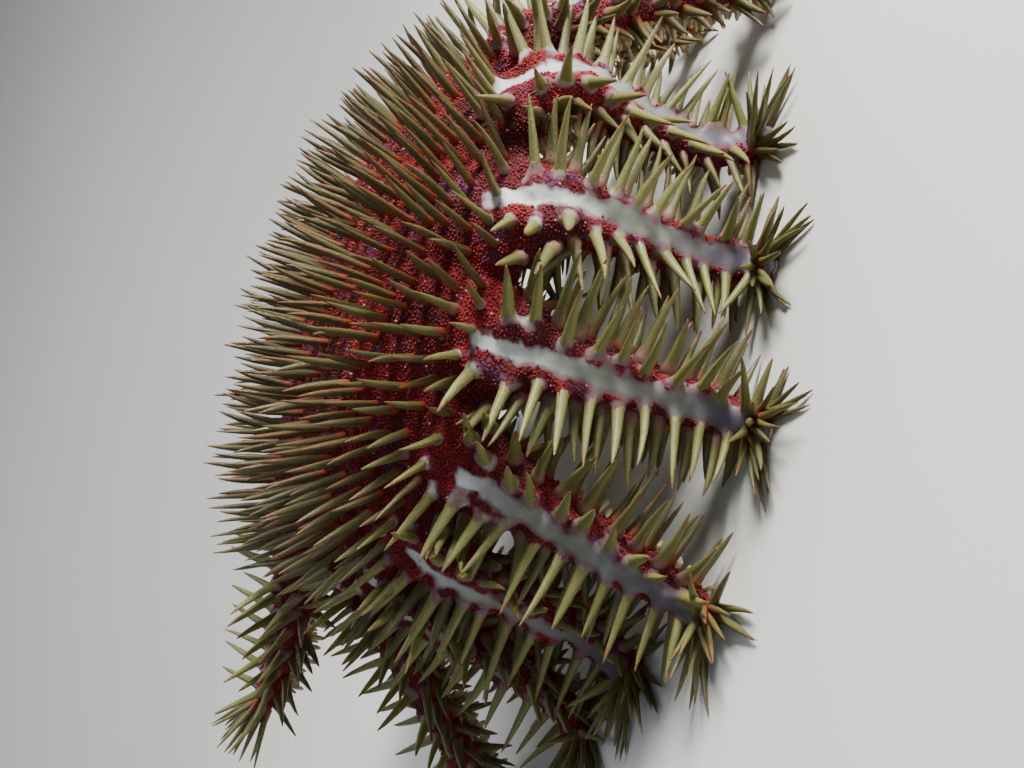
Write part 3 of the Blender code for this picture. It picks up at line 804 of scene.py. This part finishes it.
def samples():
    """Points all over the animal with what the skin's colours need to know there."""
    points, rows = [], []
    for azimuth_step in range(DISC_SAMPLES):
        azimuth = 360 * azimuth_step / DISC_SAMPLES
        for step in range(int(DISC_END / SAMPLE_STEP) + 1):
            s = step * SAMPLE_STEP
            index, t = ray_place(azimuth)
            aside = abs(dome_row(s, azimuth)[0] * sin(radians(t * rays()[index].half(t))))
            flat = flat_place(azimuth, s, 0)
            band = min(RIDGE_HALF - aside, (s - RIDGE_STARTS.get(index, RIDGE_START)) * RIDGE_GROWTH)
            points.append(back_point(s, azimuth))
            rows.append((band, 0.0, 0.0, flat.x, flat.y))
            points.append(under_point(s, azimuth))
            rows.append((NO_RIDGE, 1.0, 0.0, flat.x, flat.y))
    for ray in rays():
        s = SPLIT_ARC - 2
        while s < ray.length + 3:
            arc = min(s, ray.length)
            width = ray.taper(arc)[0]
            for k in range(ARM_SAMPLES):
                angle = 360 * k / ARM_SAMPLES - 180
                aside = width * sin(radians(min(abs(angle), 90)))
                point = ray.arm_point(arc, angle) + ray.frame(arc)[1] * (s - arc)
                # A narrower pale ridge on the lower arms partly paints their shade
                half = RIDGE_HALF * RIDGE_SHARES_AND_SHADE.get(ray.index, 1.0)
                band = half - aside if abs(angle) < 90 else NO_RIDGE
                lower = smooth((abs(angle) - UNDER_ANGLE) / UNDER_EASE)
                flat = flat_place(ray.arm.azimuth, arc, width * angle / FLAT_TURN)
                points.append(point)
                begin = RIDGE_STARTS.get(ray.index, RIDGE_START)
                band = min(band, (arc - begin) * RIDGE_GROWTH)
                rows.append((band, lower, ray.fraction(arc), flat.x, flat.y))
            s += SAMPLE_STEP
    return points, np.array(rows)


def skin_values(mesh):
    """Gives each point of the skin its ridge, underside and arm shares, and its flat place."""
    points, rows = samples()
    tree = kdtree.KDTree(len(points))
    for i, point in enumerate(points):
        tree.insert(placed(point), i)
    tree.balance()
    spines = all_spines()
    roots = kdtree.KDTree(len(spines) * len(STUB_MARKS))
    for i, spine in enumerate(spines):
        for mark in STUB_MARKS:
            reach = mark * STUB_HEIGHT * spine.radius if spine.pale > STUB_PALE else 0.0
            roots.insert(placed(spine.root + spine.direction * reach), i)
    roots.balance()
    values = np.zeros((len(mesh.vertices), 6))
    for vertex in mesh.vertices:
        near = tree.find_n(vertex.co, 3)
        weights = np.array([1 / (distance + 1e-5) for _, _, distance in near])
        values[vertex.index, :5] = weights @ rows[[i for _, i, _ in near]] / weights.sum()
        _, i, distance = roots.find(vertex.co)
        spine = spines[i]
        ring = mix(DISC_RING, ARM_RING, spine.pale) * spine.radius - distance / MM
        ridge = max(values[vertex.index, 0], min(ring, RING_MOST) if spine.pale > RING_PALE else NO_RIDGE)
        values[vertex.index, 0] = ridge + noise.noise(vertex.co / RAGGED_SIZE) * RAGGED_DEPTH
        rise = (vertex.co - placed(spine.root)).dot(spine.direction) / (STUB_HEIGHT * spine.radius * MM)
        values[vertex.index, 5] = rise if spine.pale > STUB_PALE and ring > -1.0 else 0.0
    set_values(mesh, "ridge", values[:, 0])
    set_values(mesh, "under", values[:, 1])
    set_values(mesh, "fraction", values[:, 2])
    set_values(mesh, "rise", values[:, 5])
    flat = np.zeros((len(values), 3))
    flat[:, :2] = values[:, 3:5]
    set_values(mesh, "flat", flat, "FLOAT_VECTOR")


def stub(spine, shape):
    """The skin's cone round the root of an arm's spine."""
    return stretched(shape, spine.root, spine.direction, STUB_HEIGHT * spine.radius, spine.radius)


def make_skin(sizes):
    """The disc, the arms and the spines' cones, melted into one skin."""
    bm = bmesh.new()
    warped_grid(bm, *DISC_GRID, disc_shape)
    for ray in rays():
        warped_grid(bm, *ARM_GRID, arm_shape(ray))
    pale = [spine for spine in all_spines() if spine.pale > STUB_PALE]
    bm.from_mesh(array_of(turned_shape(STUB_PROFILE, 12), pale, stub))
    bmesh.ops.recalc_face_normals(bm, faces=bm.faces)
    sheets = linked("skin_sheets", mesh_from(bm, "skin_sheets"))
    join = sheets.modifiers.new("join", "REMESH")
    join.mode = "VOXEL"
    join.voxel_size = sizes.voxel
    ease = sheets.modifiers.new("ease", "SMOOTH")
    ease.factor, ease.iterations = SKIN_EASE
    skin_mesh = evaluated_mesh(sheets)
    skin_values(skin_mesh)
    roughen(skin_mesh)
    skin = piece_of("skin", skin_mesh, skin_finish())
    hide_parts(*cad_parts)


def roughen(mesh):
    """Raises the red skin in low lumps, leaving the bare ridges smooth and the toes flat."""
    ridge, under = read_values(mesh, "ridge"), read_values(mesh, "under")
    points = np.zeros((len(mesh.vertices), 3), dtype=np.float32)
    normals = np.zeros_like(points)
    mesh.vertices.foreach_get("co", points.ravel())
    mesh.vertex_normals.foreach_get("vector", normals.ravel())
    bare = np.maximum(np.clip(ridge + 0.5, 0, 1), under)
    lumps = np.array([noise.noise(Vector(point) / LUMP_SIZE) for point in points]) * LUMP_HEIGHT
    lumps *= (1 - LUMP_EASE * bare) * np.clip(points[:, 2] / LUMP_FLOOR, 0, 1)
    points += normals * lumps[:, None]
    points[:, 2] = np.maximum(points[:, 2], 0)
    mesh.vertices.foreach_set("co", points.ravel())
    mesh.update()


# The spines' meshes

def lay_spine(spine, shape):
    """The points of one spine."""
    return stretched(shape, spine.root, spine.direction, spine.length, spine.radius, spine.twist,
                     SPINE_FLATTEN, spine.bend)


def make_spines(sizes):
    """One piece for each group of spines."""
    finish = spine_finish(sizes)
    spines = all_spines()
    for group in sorted({spine.group for spine in spines}):
        members = [spine for spine in spines if spine.group == group]
        template = turned_shape(DISC_PROFILE if group == "disc" else ARM_PROFILE, SPINE_SIDES)
        mesh = array_of(template, members, lay_spine)
        x, y, z = np.array([vertex.co for vertex in template.vertices]).T
        keel = x ** 2 / np.maximum(x ** 2 + y ** 2, 1e-9)
        set_values(mesh, "along", np.tile(z, len(members)))
        set_values(mesh, "keel", np.tile(keel, len(members)))
        set_values(mesh, "tint", np.repeat([spine.tint for spine in members], len(z)))
        set_values(mesh, "pale", np.repeat([spine.pale for spine in members], len(z)))
        patch = np.stack([x * PATCH / 2, z * PATCH * PATCH_LENGTH], axis=1)
        piece = piece_of(f"spines_{group}", mesh, finish)
        patch_map(piece.data, np.vstack([patch + np.array(spine.flat) for spine in members]))


# Granules, scattered by Geometry Nodes and made real

def scatter(name, host, shape, spacing, mask, seed):
    """Copies of a small shape over the host where the mask is high, joined into one mesh."""
    tree = bpy.data.node_groups.new(name, "GeometryNodeTree")
    tree.interface.new_socket("Geometry", in_out="INPUT", socket_type="NodeSocketGeometry")
    tree.interface.new_socket("Geometry", in_out="OUTPUT", socket_type="NodeSocketGeometry")

    def node(kind, settings, **values):
        """A node with its settings, and its inputs set or linked by name."""
        made = tree.nodes.new(kind)
        for key, value in settings.items():
            setattr(made, key, value)
        for key, value in values.items():
            socket = made.inputs[key.replace("_", " ")]
            if isinstance(value, bpy.types.NodeSocket):
                tree.links.new(value, socket)
            else:
                socket.default_value = value
        return made

    def random_between(low, high, seed):
        """A random number for each point."""
        made = node("FunctionNodeRandomValue", {"data_type": "FLOAT"}, Seed=seed)
        ends = [socket for socket in made.inputs if socket.enabled]
        ends[0].default_value, ends[1].default_value = low, high
        return next(socket for socket in made.outputs if socket.enabled)

    source = node("NodeGroupInput", {})
    share = node("GeometryNodeInputNamedAttribute", {"data_type": "FLOAT"}, Name=mask)
    points = node("GeometryNodeDistributePointsOnFaces", {"distribute_method": "POISSON"},
                  Mesh=source.outputs[0], Distance_Min=spacing,
                  Density_Max=GRANULE_DENSITY / spacing ** 2, Density_Factor=share.outputs[0], Seed=seed)
    size = random_between(*GRANULE_SIZES, seed + 1)
    tint = random_between(0.0, 1.0, seed + 2)
    marked = node("GeometryNodeStoreNamedAttribute", {"data_type": "FLOAT", "domain": "POINT"},
                  Geometry=points.outputs["Points"], Name="tint", Value=tint)
    grain = node("GeometryNodeObjectInfo", {}, Object=shape)
    copies = node("GeometryNodeInstanceOnPoints", {}, Points=marked.outputs[0],
                  Instance=grain.outputs["Geometry"], Rotation=points.outputs["Rotation"], Scale=size)
    real = node("GeometryNodeRealizeInstances", {}, Geometry=copies.outputs[0])
    node("NodeGroupOutput", {}, Geometry=real.outputs[0])
    carrier = linked(name, host)
    carrier.modifiers.new("scatter", "NODES").node_group = tree
    mesh = evaluated_mesh(carrier)
    bpy.data.node_groups.remove(tree)
    return mesh


def make_granules(sizes):
    """Granules over the red skin, in sectors so that no piece is too heavy."""
    bm = bmesh.new()
    bmesh.ops.create_icosphere(bm, subdivisions=1, radius=sizes.radius)
    bmesh.ops.scale(bm, vec=(1, 1, GRANULE_STRETCH), verts=bm.verts)
    bmesh.ops.translate(bm, vec=(0, 0, sizes.radius * GRANULE_RISE), verts=bm.verts)
    grain = mesh_from(bm, "granule")
    grain.shade_smooth()
    patch = np.zeros((len(grain.vertices), 3))
    for vertex in grain.vertices:
        patch[vertex.index, :2] = vertex.co.x / sizes.radius, vertex.co.y / sizes.radius
    set_values(grain, "patch", patch, "FLOAT_VECTOR")
    shape = linked("granule", grain)
    host = bpy.data.objects["skin"].data.copy()
    ridge, under = read_values(host, "ridge"), read_values(host, "under")
    flat = read_values(host, "flat", 3)
    red = np.clip(0.6 - ridge * 1.6, 0, 1) * np.clip(1 - under * 2.5, 0, 1)
    angle = np.arctan2(flat[:, 1] - 0.5, flat[:, 0] - 0.5) % (2 * pi)
    set_values(host, "mask", red)
    finish = granule_finish()
    for sector in range(GRANULE_SECTORS):
        inside = (angle * GRANULE_SECTORS / (2 * pi)).astype(int) == sector
        host.attributes["mask"].data.foreach_set("value", (red * inside).astype(np.float32))
        name = f"granules_{sector + 1:02d}"
        mesh = scatter(name, host, shape, sizes.spacing, "mask", GRANULE_SEED + sector * 10)
        places = read_values(mesh, "flat", 3)[:, :2] + read_values(mesh, "patch", 3)[:, :2] * PATCH / 2
        piece = piece_of(name, mesh, finish)
        patch_map(piece.data, places)
    bpy.data.objects.remove(shape)
    bpy.data.meshes.remove(host)


# Finishes

class Value:
    """A node's output that takes part in sums: each operation adds one Math node."""

    def __init__(self, finish, socket):
        self.finish = finish
        self.socket = socket

    def maths(self, operation, first, second):
        """The output of a Math node fed with two values."""
        return self.finish.node("ShaderNodeMath", {"operation": operation}, {0: first, 1: second})

    def __add__(self, other):
        return self.maths("ADD", self, other)

    def __sub__(self, other):
        return self.maths("SUBTRACT", self, other)

    def __rsub__(self, other):
        return self.maths("SUBTRACT", other, self)

    def __mul__(self, other):
        return self.maths("MULTIPLY", self, other)

    __radd__ = __add__
    __rmul__ = __mul__


def darker(colour, share):
    """The colour with that share of its light."""
    return tuple(share * c for c in colour)


class Finish:
    """A material under construction."""

    def __init__(self, name):
        self.material = bpy.data.materials.new(name)
        self.material.use_nodes = True
        self.tree = self.material.node_tree
        self.shader = self.tree.nodes["Principled BSDF"]
        self.place = self.node("ShaderNodeTexCoord", output="Object")

    def node(self, kind, settings=None, inputs=None, output=0):
        """The chosen output of a new node."""
        made = self.tree.nodes.new(kind)
        for key, value in (settings or {}).items():
            setattr(made, key, value)
        for key, value in (inputs or {}).items():
            self.feed(made.inputs[key], value)
        return Value(self, made.outputs[output])

    def feed(self, socket, value):
        """Links a value to a socket, or sets a constant on it."""
        if isinstance(value, Value):
            self.tree.links.new(value.socket, socket)
        elif socket.type == "RGBA":
            socket.default_value = (*value[:3], 1.0)
        else:
            socket.default_value = value

    def attribute(self, name):
        """What set_values stored under a name."""
        return self.node("ShaderNodeAttribute", {"attribute_name": name}, output="Fac")

    def noise(self, scale, detail=3.0):
        """Soft noise from 0 to 1."""
        inputs = {"Vector": self.place, "Scale": scale, "Detail": detail}
        return self.node("ShaderNodeTexNoise", {}, inputs)

    def cells(self, scale):
        """The distance from the nearest of many scattered points."""
        return self.node("ShaderNodeTexVoronoi", {}, {"Vector": self.place, "Scale": scale}, "Distance")

    def step(self, value, low, high, start=0.0, end=1.0):
        """A smooth step from start to end as the value goes from low to high."""
        inputs = {"Value": value, "From Min": low, "From Max": high, "To Min": start, "To Max": end}
        return self.node("ShaderNodeMapRange", {"interpolation_type": "SMOOTHSTEP"}, inputs)

    def blend(self, first, second, share):
        """A colour between two, by a share from 0 to 1."""
        return self.node("ShaderNodeMix", {"data_type": "RGBA"}, {0: share, 6: first, 7: second}, output=2)

    def dress(self, colour, roughness, height=None, depth=0.0002, **constants):
        """Feeds the shader and gives the finished material."""
        self.feed(self.shader.inputs["Base Color"], colour)
        self.feed(self.shader.inputs["Roughness"], roughness)
        if height is not None:
            bump = self.node("ShaderNodeBump", {}, {"Height": height, "Distance": depth, "Strength": 1.0})
            self.feed(self.shader.inputs["Normal"], bump)
        for key, value in constants.items():
            self.feed(self.shader.inputs[key.replace("_", " ")], value)
        return self.material


def skin_finish():
    """Granular red on the back, bare grey on the ridges, cream underneath."""
    sizes = bpy.context.scene.starfish_skin
    olive = bpy.context.scene.starfish_spines.olive
    finish = Finish("starfish_skin")
    patches = finish.noise(38.0, 4.0)
    fine = finish.noise(420.0, 3.0)
    grains = finish.cells(900.0)
    bright = finish.step(grains, 0.75, 0.1) * finish.step(patches, 0.36, 0.62)
    red = finish.blend(sizes.maroon, sizes.red, bright)
    red = finish.blend(red, sizes.violet, finish.step(finish.noise(75.0, 3.0), 0.56, 0.68) * 0.75)
    far = finish.attribute("fraction")
    greyed = finish.step(far + (finish.noise(90.0) - 0.5) * 0.4, 0.0, 0.36)
    pale = finish.blend(sizes.ridge, RIDGE_GREY, greyed)
    pale = finish.blend(pale, sizes.ridge_tip, finish.step(far, 0.35, 0.95))
    shaded = finish.step(finish.noise(160.0), 0.5, 0.75) * 0.5
    pale = finish.blend(pale, darker(sizes.ridge, 0.5), shaded)
    rise = finish.step(finish.attribute("rise") + (fine - 0.5) * 0.2, 0.2, 0.85)
    pale = finish.blend(pale, olive, rise)
    edge = finish.attribute("ridge") * 0.42 + (fine - 0.5) * 0.7
    bare = finish.step(edge, 0.05, 0.4)
    pale = finish.blend(RIDGE_EDGE, pale, finish.step(edge, 0.2, 1.1))
    lower = finish.step(finish.attribute("under") + (fine - 0.5) * 0.5, 0.35, 0.65)
    speckle = finish.step(finish.cells(500.0), 0.28, 0.12) * 0.4
    cream = finish.blend(sizes.under, darker(sizes.under, 0.45), speckle)
    colour = finish.blend(finish.blend(red, pale, bare), cream, lower)
    height = (1 - grains) * (1 - bare) * 0.9 + fine * 0.25
    return finish.dress(colour, 0.8 - 0.35 * bare, height, 0.0005, Specular_IOR_Level=0.2)


def granule_finish():
    """Wet red granules, some of them violet, a few nearly white."""
    sizes = bpy.context.scene.starfish_skin
    finish = Finish("starfish_granules")
    tint = finish.attribute("tint")
    patches = finish.noise(38.0, 4.0)
    bright = finish.step(tint * 0.35 + patches, 0.45, 1.0)
    colour = finish.blend(sizes.maroon, sizes.red, bright)
    colour = finish.blend(colour, sizes.violet, finish.step(finish.noise(75.0, 3.0), 0.58, 0.7) * 0.6)
    colour = finish.blend(colour, PALE_GRAIN, finish.step(tint, 0.985, 0.99) * 0.6)
    return finish.dress(colour, 0.6, finish.noise(1500.0), 0.0001, Specular_IOR_Level=0.4)


def spine_finish(sizes):
    """Olive shafts with rusty points; roots take the skin's colour."""
    skin = bpy.context.scene.starfish_skin
    finish = Finish("starfish_spines")
    along_spine = finish.attribute("along")
    keel, tint, pale = finish.attribute("keel"), finish.attribute("tint"), finish.attribute("pale")
    fine = finish.noise(900.0, 3.0)
    shaft = finish.blend(sizes.brown, sizes.olive, pale * 0.75 + tint * 0.3)
    shaft = finish.blend(shaft, OLIVE_LIGHT, finish.step(keel, 0.6, 1.0) * 0.3)
    rusty = finish.step(keel * (1 - pale) + finish.noise(60.0), 0.9, 1.35) * 0.75
    shaft = finish.blend(shaft, sizes.rust, rusty)
    point = finish.step(along_spine + (fine - 0.5) * 0.5 + (tint - 0.5) * 0.2, 0.74, 1.02)
    colour = finish.blend(shaft, sizes.rust, point * 0.85)
    root = finish.step(along_spine + (fine - 0.5) * 0.15, 0.26, 0.02) * finish.step(pale, 0.7, STUB_PALE)
    collar = finish.blend(ROOT_RED, skin.ridge, finish.step(pale, 0.3, 0.8))
    colour = finish.blend(colour, collar, root)
    grain = finish.step(finish.noise(2200.0, 2.0), 0.35, 0.75)
    colour = finish.blend(colour, darker(sizes.brown, 0.5), grain * 0.3)
    return finish.dress(colour, 0.42, grain + fine, 0.00012, Coat_Weight=0.1, Coat_Roughness=0.25)


def foot_finish(sizes):
    """Translucent cream, darker in places."""
    finish = Finish("starfish_feet")
    shade = finish.noise(300.0)
    colour = finish.blend(sizes.foot, darker(sizes.foot, 0.45), finish.step(shade, 0.4, 0.75))
    return finish.dress(colour, 0.35, shade, 0.0001, Coat_Weight=0.3, Coat_Roughness=0.2)


def mouth_finish():
    """The mouth's wet, blotched lip."""
    finish = Finish("starfish_mouth")
    shade = finish.noise(220.0)
    colour = finish.blend(MOUTH_PALE, MOUTH_DARK, finish.step(shade, 0.35, 0.7))
    return finish.dress(colour, 0.3, shade, 0.0003, Coat_Weight=0.3, Coat_Roughness=0.2)


# The underside

def under_row(ray, s, aside):
    """A point under a ray or arm beside its groove, with the way out of the skin there."""
    if s < SPLIT_ARC:
        rho = max(dome_row(s, ray.arm.azimuth)[0], 1.0)
        azimuth = ray.arm.azimuth + degrees(atan2(aside, rho))
        point = under_point(s, azimuth)
        slope = radians(dome_row(s, azimuth)[2]) * smooth((s - RIM) / (SPLIT_ARC - RIM))
        return point, -(outward(azimuth) * sin(slope) + Vector((0, 0, cos(slope))))
    point, _, across, normal = ray.frame(s)
    _, height = ray.taper(s)
    depth = height - GROOVE_DEPTH * (1 - smooth(abs(aside) / GROOVE_WIDTH))
    return point + across * aside - normal * depth, -normal


Rod = namedtuple("Rod", "root direction length radius tint")


def lay_rod(rod, shape):
    """The points of one foot or blunt spine."""
    return stretched(shape, rod.root, rod.direction, rod.length, rod.radius)


def make_rods(name, profile, sides, found, finish):
    """One piece with a turned shape for each rod."""
    template = turned_shape(profile, sides)
    mesh = array_of(template, found, lay_rod)
    set_values(mesh, "tint", np.repeat([rod.tint for rod in found], len(template.vertices)))
    piece_of(name, mesh, finish)


def underside_spines(rng, ray):
    """Short spines between the grooves, in a row on either side and one between two rays."""
    found = []
    s = UNDER_FIRST
    while s < ray.length - 9:
        q = ray.fraction(s)
        rho = dome_row(min(s, SPLIT_ARC), ray.arm.azimuth)[0]
        wedge = rho * sin(radians((ray.half_low + ray.half_high) * 0.27))
        aside = mix(wedge, ray.taper(s)[0] * 0.66, smooth((s - SPLIT_ARC + 10) / 20))
        for side in (-1, 1):
            root, down = under_row(ray, s + rng.uniform(-1.5, 1.5), aside * side)
            lean = jitter(rng, down + ray.frame(s)[2] * side * 0.25, 0.12)
            length = mix(9.0, 5.5, q) * rng.uniform(*SHORT_SPREAD)
            found.append(Rod(root, lean, length, mix(1.25, 0.95, q), rng.random()))
        if BETWEEN_FIRST < s < SPLIT_ARC:
            azimuth = ray.azimuth(1)
            lean = jitter(rng, Vector((0, 0, -1)) + outward(azimuth) * 0.1, 0.15)
            length = 8.5 * rng.uniform(*SHORT_SPREAD)
            found.append(Rod(under_point(s, azimuth), lean, length, 1.25, rng.random()))
        s += UNDER_STEP * mix(1.0, 0.8, q)
    return found


def groove_rods(rng, ray, foot_step):
    """The feet in a ray's groove, and the blunt spines on its banks."""
    feet, pegs = [], []
    s = MOUTH_RADIUS + 5
    while s < ray.length - 6:
        q = ray.fraction(s)
        for side in (-1, 1):
            root, down = under_row(ray, s + rng.uniform(-0.4, 0.4), side * 1.5)
            lean = jitter(rng, down + ray.frame(s)[2] * side * 0.12, 0.12)
            feet.append(Rod(root, lean, mix(5.4, 3.0, q) * rng.uniform(0.8, 1.15), 0.75, rng.random()))
            if rng.random() < PEG_SHARE:
                root, down = under_row(ray, s, side * (GROOVE_WIDTH + 0.5))
                lean = jitter(rng, down + ray.frame(s)[2] * side * 0.35, 0.1)
                pegs.append(Rod(root, lean, mix(6.0, 4.0, q) * rng.uniform(0.85, 1.1), 0.8, rng.random()))
        s += foot_step * mix(1.0, 0.8, q)
    return feet, pegs


def mouth_rods(rng):
    """Rings of blunt spines that point in over the mouth."""
    found = []
    for ring, radius in enumerate(MOUTH_RINGS):
        count = round(2 * pi * radius / PEG_SPACING)
        for k in range(count):
            azimuth = 360 * (k + ring / 2) / count
            lean = jitter(rng, -outward(azimuth) * 0.5 - Vector((0, 0, 1)), 0.08)
            found.append(Rod(under_point(radius, azimuth), lean, 7.5 - ring, 1.0, rng.random()))
    return found


def make_underside(sizes):
    """Tube feet, blunt and short spines, and the mouth."""
    rng = random.Random(FOOT_SEED)
    feet, pegs = [], []
    for ray in rays():
        more_feet, more_pegs = groove_rods(rng, ray, sizes.foot_step / MM)
        feet += more_feet
        pegs += more_pegs
    short = [rod for ray in rays() for rod in underside_spines(rng, ray)]
    pegs += mouth_rods(rng)
    finish = foot_finish(sizes)
    make_rods("tube_feet", FOOT_PROFILE, 7, feet, finish)
    make_rods("groove_spines", PEG_PROFILE, 6, pegs, finish)
    make_rods("underside_spines", PEG_PROFILE, 7, short, finish)
    make_mouth()


def make_mouth():
    """The puckered lip round the mouth."""
    base = under_point(0, 0).z

    def lip(u, v):
        """From the rim at u = 0 to the middle, v once round."""
        radius = MOUTH_LIP * (1 - u) + 0.4 * sin(20 * pi * v) * sin(pi * u)
        height = base - 1.4 * sin(pi * min(1.0, u * 1.4)) - 0.2 + 3.0 * smooth((u - 0.6) / 0.4)
        return placed(outward(360 * v) * radius + Vector((0, 0, height)))

    bm = bmesh.new()
    warped_grid(bm, 16, 80, lip)
    bmesh.ops.recalc_face_normals(bm, faces=bm.faces)
    if sum(face.normal.z * face.calc_area() for face in bm.faces) > 0:
        bmesh.ops.reverse_faces(bm, faces=bm.faces)
    piece_of("mouth", mesh_from(bm, "mouth"), mouth_finish())


# The stage

def make_camera(sizes):
    """The photograph's view: level turned by azimuth and elevation, then rolled past a quarter turn."""
    e, a, r = sizes.elevation, sizes.azimuth, sizes.roll
    back = Vector((sin(a) * cos(e), -cos(a) * cos(e), sin(e)))
    level = Vector((0, 0, 1))
    z_in = (level - back * level.dot(back)).normalized()
    x_in = z_in.cross(back)
    left = z_in * cos(r) - x_in * sin(r)
    up = z_in * sin(r) + x_in * cos(r)
    camera = linked("camera", bpy.data.cameras.new("camera"))
    place = AIM + DOME_CENTRE + back * sizes.distance
    camera.matrix_world = Matrix.Translation(place) @ Matrix((-left, up, back)).transposed().to_4x4()
    camera.data.lens = sizes.lens
    camera.data.shift_x, camera.data.shift_y = VIEW_SHIFT
    camera.data.clip_start = 0.01
    bpy.context.scene.camera = camera


def make_floor(sizes):
    """A pale floor that curves up into a wall."""
    bm = bmesh.new()
    width, near, far, bend, height = STAGE_SIZE
    line = [bm.verts.new((-width, near, 0)), bm.verts.new((-width, far, 0))]
    for k in range(1, BEND_STEPS + 1):
        turn = pi / 2 * k / BEND_STEPS
        line.append(bm.verts.new((-width, far + bend * sin(turn), bend * (1 - cos(turn)))))
    line.append(bm.verts.new((-width, far + bend, height)))
    edges = [bm.edges.new(pair) for pair in zip(line, line[1:])]
    made = bmesh.ops.extrude_edge_only(bm, edges=edges)
    moved = [thing for thing in made["geom"] if isinstance(thing, bmesh.types.BMVert)]
    bmesh.ops.translate(bm, vec=(2 * width, 0, 0), verts=moved)
    bmesh.ops.recalc_face_normals(bm, faces=bm.faces)
    mesh = mesh_from(bm, "floor")
    mesh.shade_smooth()
    finish = Finish("stage_floor")
    colour = finish.blend(sizes.floor, darker(sizes.floor, 0.93), finish.noise(6.0))
    mesh.materials.append(finish.dress(colour, 0.8))
    floor = linked("floor", mesh)


def make_lights():
    """Three soft lamps and a dim even sky."""
    for name, spot, size, power, colour in LIGHTS:
        data = bpy.data.lights.new(name, "AREA")
        data.size, data.energy, data.color = size, power, colour
        lamp = linked(name, data)
        lamp.location = spot
        lamp.rotation_euler = (AIM - Vector(spot)).to_track_quat("-Z", "Y").to_euler()
    scene = bpy.context.scene
    scene.world = scene.world or bpy.data.worlds.new("world")
    scene.world.use_nodes = True
    background = scene.world.node_tree.nodes["Background"]
    background.inputs[0].default_value = (*SKY, 1.0)
    background.inputs[1].default_value = SKY_STRENGTH


# Operators, panel and registration

class STARFISH_OT_skin(bpy.types.Operator):
    """Build the skin over the disc and the arms"""
    bl_idname = "starfish.skin"
    bl_label = "Skin"

    def execute(self, context):
        make_skin(context.scene.starfish_skin)
        return {"FINISHED"}


class STARFISH_OT_spines(bpy.types.Operator):
    """Build the spines of the disc and the arms"""
    bl_idname = "starfish.spines"
    bl_label = "Spines"

    def execute(self, context):
        make_spines(context.scene.starfish_spines)
        return {"FINISHED"}


class STARFISH_OT_granules(bpy.types.Operator):
    """Scatter the granules over the red skin"""
    bl_idname = "starfish.granules"
    bl_label = "Granules"

    def execute(self, context):
        make_granules(context.scene.starfish_granules)
        return {"FINISHED"}


class STARFISH_OT_underside(bpy.types.Operator):
    """Build the tube feet, the groove's spines and the mouth"""
    bl_idname = "starfish.underside"
    bl_label = "Underside"

    def execute(self, context):
        make_underside(context.scene.starfish_underside)
        return {"FINISHED"}


class STARFISH_OT_stage(bpy.types.Operator):
    """Set up the camera, the floor and the light"""
    bl_idname = "starfish.stage"
    bl_label = "Stage"

    def execute(self, context):
        make_camera(context.scene.starfish_stage)
        make_floor(context.scene.starfish_stage)
        make_lights()
        return {"FINISHED"}


class STARFISH_PT_panel(bpy.types.Panel):
    """Sizes, colours and builders of the starfish"""
    bl_idname = "STARFISH_PT_panel"
    bl_label = "Crown of Thorns Starfish"
    bl_space_type = "VIEW_3D"
    bl_region_type = "UI"
    bl_category = "Starfish"

    def draw(self, context):
        for group, builder in BUILDERS.items():
            sizes = getattr(context.scene, f"starfish_{group}")
            for name in sizes.__annotations__:
                self.layout.prop(sizes, name)
            self.layout.operator(builder.bl_idname)


GROUPS = {"skin": StarfishSkin, "granules": StarfishGranules, "spines": StarfishSpines,
          "underside": StarfishUnderside, "stage": StarfishStage}
BUILDERS = {"skin": STARFISH_OT_skin, "granules": STARFISH_OT_granules, "spines": STARFISH_OT_spines,
            "underside": STARFISH_OT_underside, "stage": STARFISH_OT_stage}


def register():
    """Adds the sizes, the operators and the panel."""
    for name, group in GROUPS.items():
        bpy.utils.register_class(group)
        setattr(bpy.types.Scene, f"starfish_{name}", PointerProperty(type=group))
        bpy.utils.register_class(BUILDERS[name])
    bpy.utils.register_class(STARFISH_PT_panel)


def unregister():
    """Takes away what register adds."""
    bpy.utils.unregister_class(STARFISH_PT_panel)
    for name, group in reversed(GROUPS.items()):
        bpy.utils.unregister_class(BUILDERS[name])
        delattr(bpy.types.Scene, f"starfish_{name}")
        bpy.utils.unregister_class(group)


def main():
    """Builds everything."""
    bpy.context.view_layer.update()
    register()
    bpy.ops.starfish.skin()
    bpy.ops.starfish.spines()
    bpy.ops.starfish.granules()
    bpy.ops.starfish.underside()
    bpy.ops.starfish.stage()


if __name__ == "__main__":
    main()
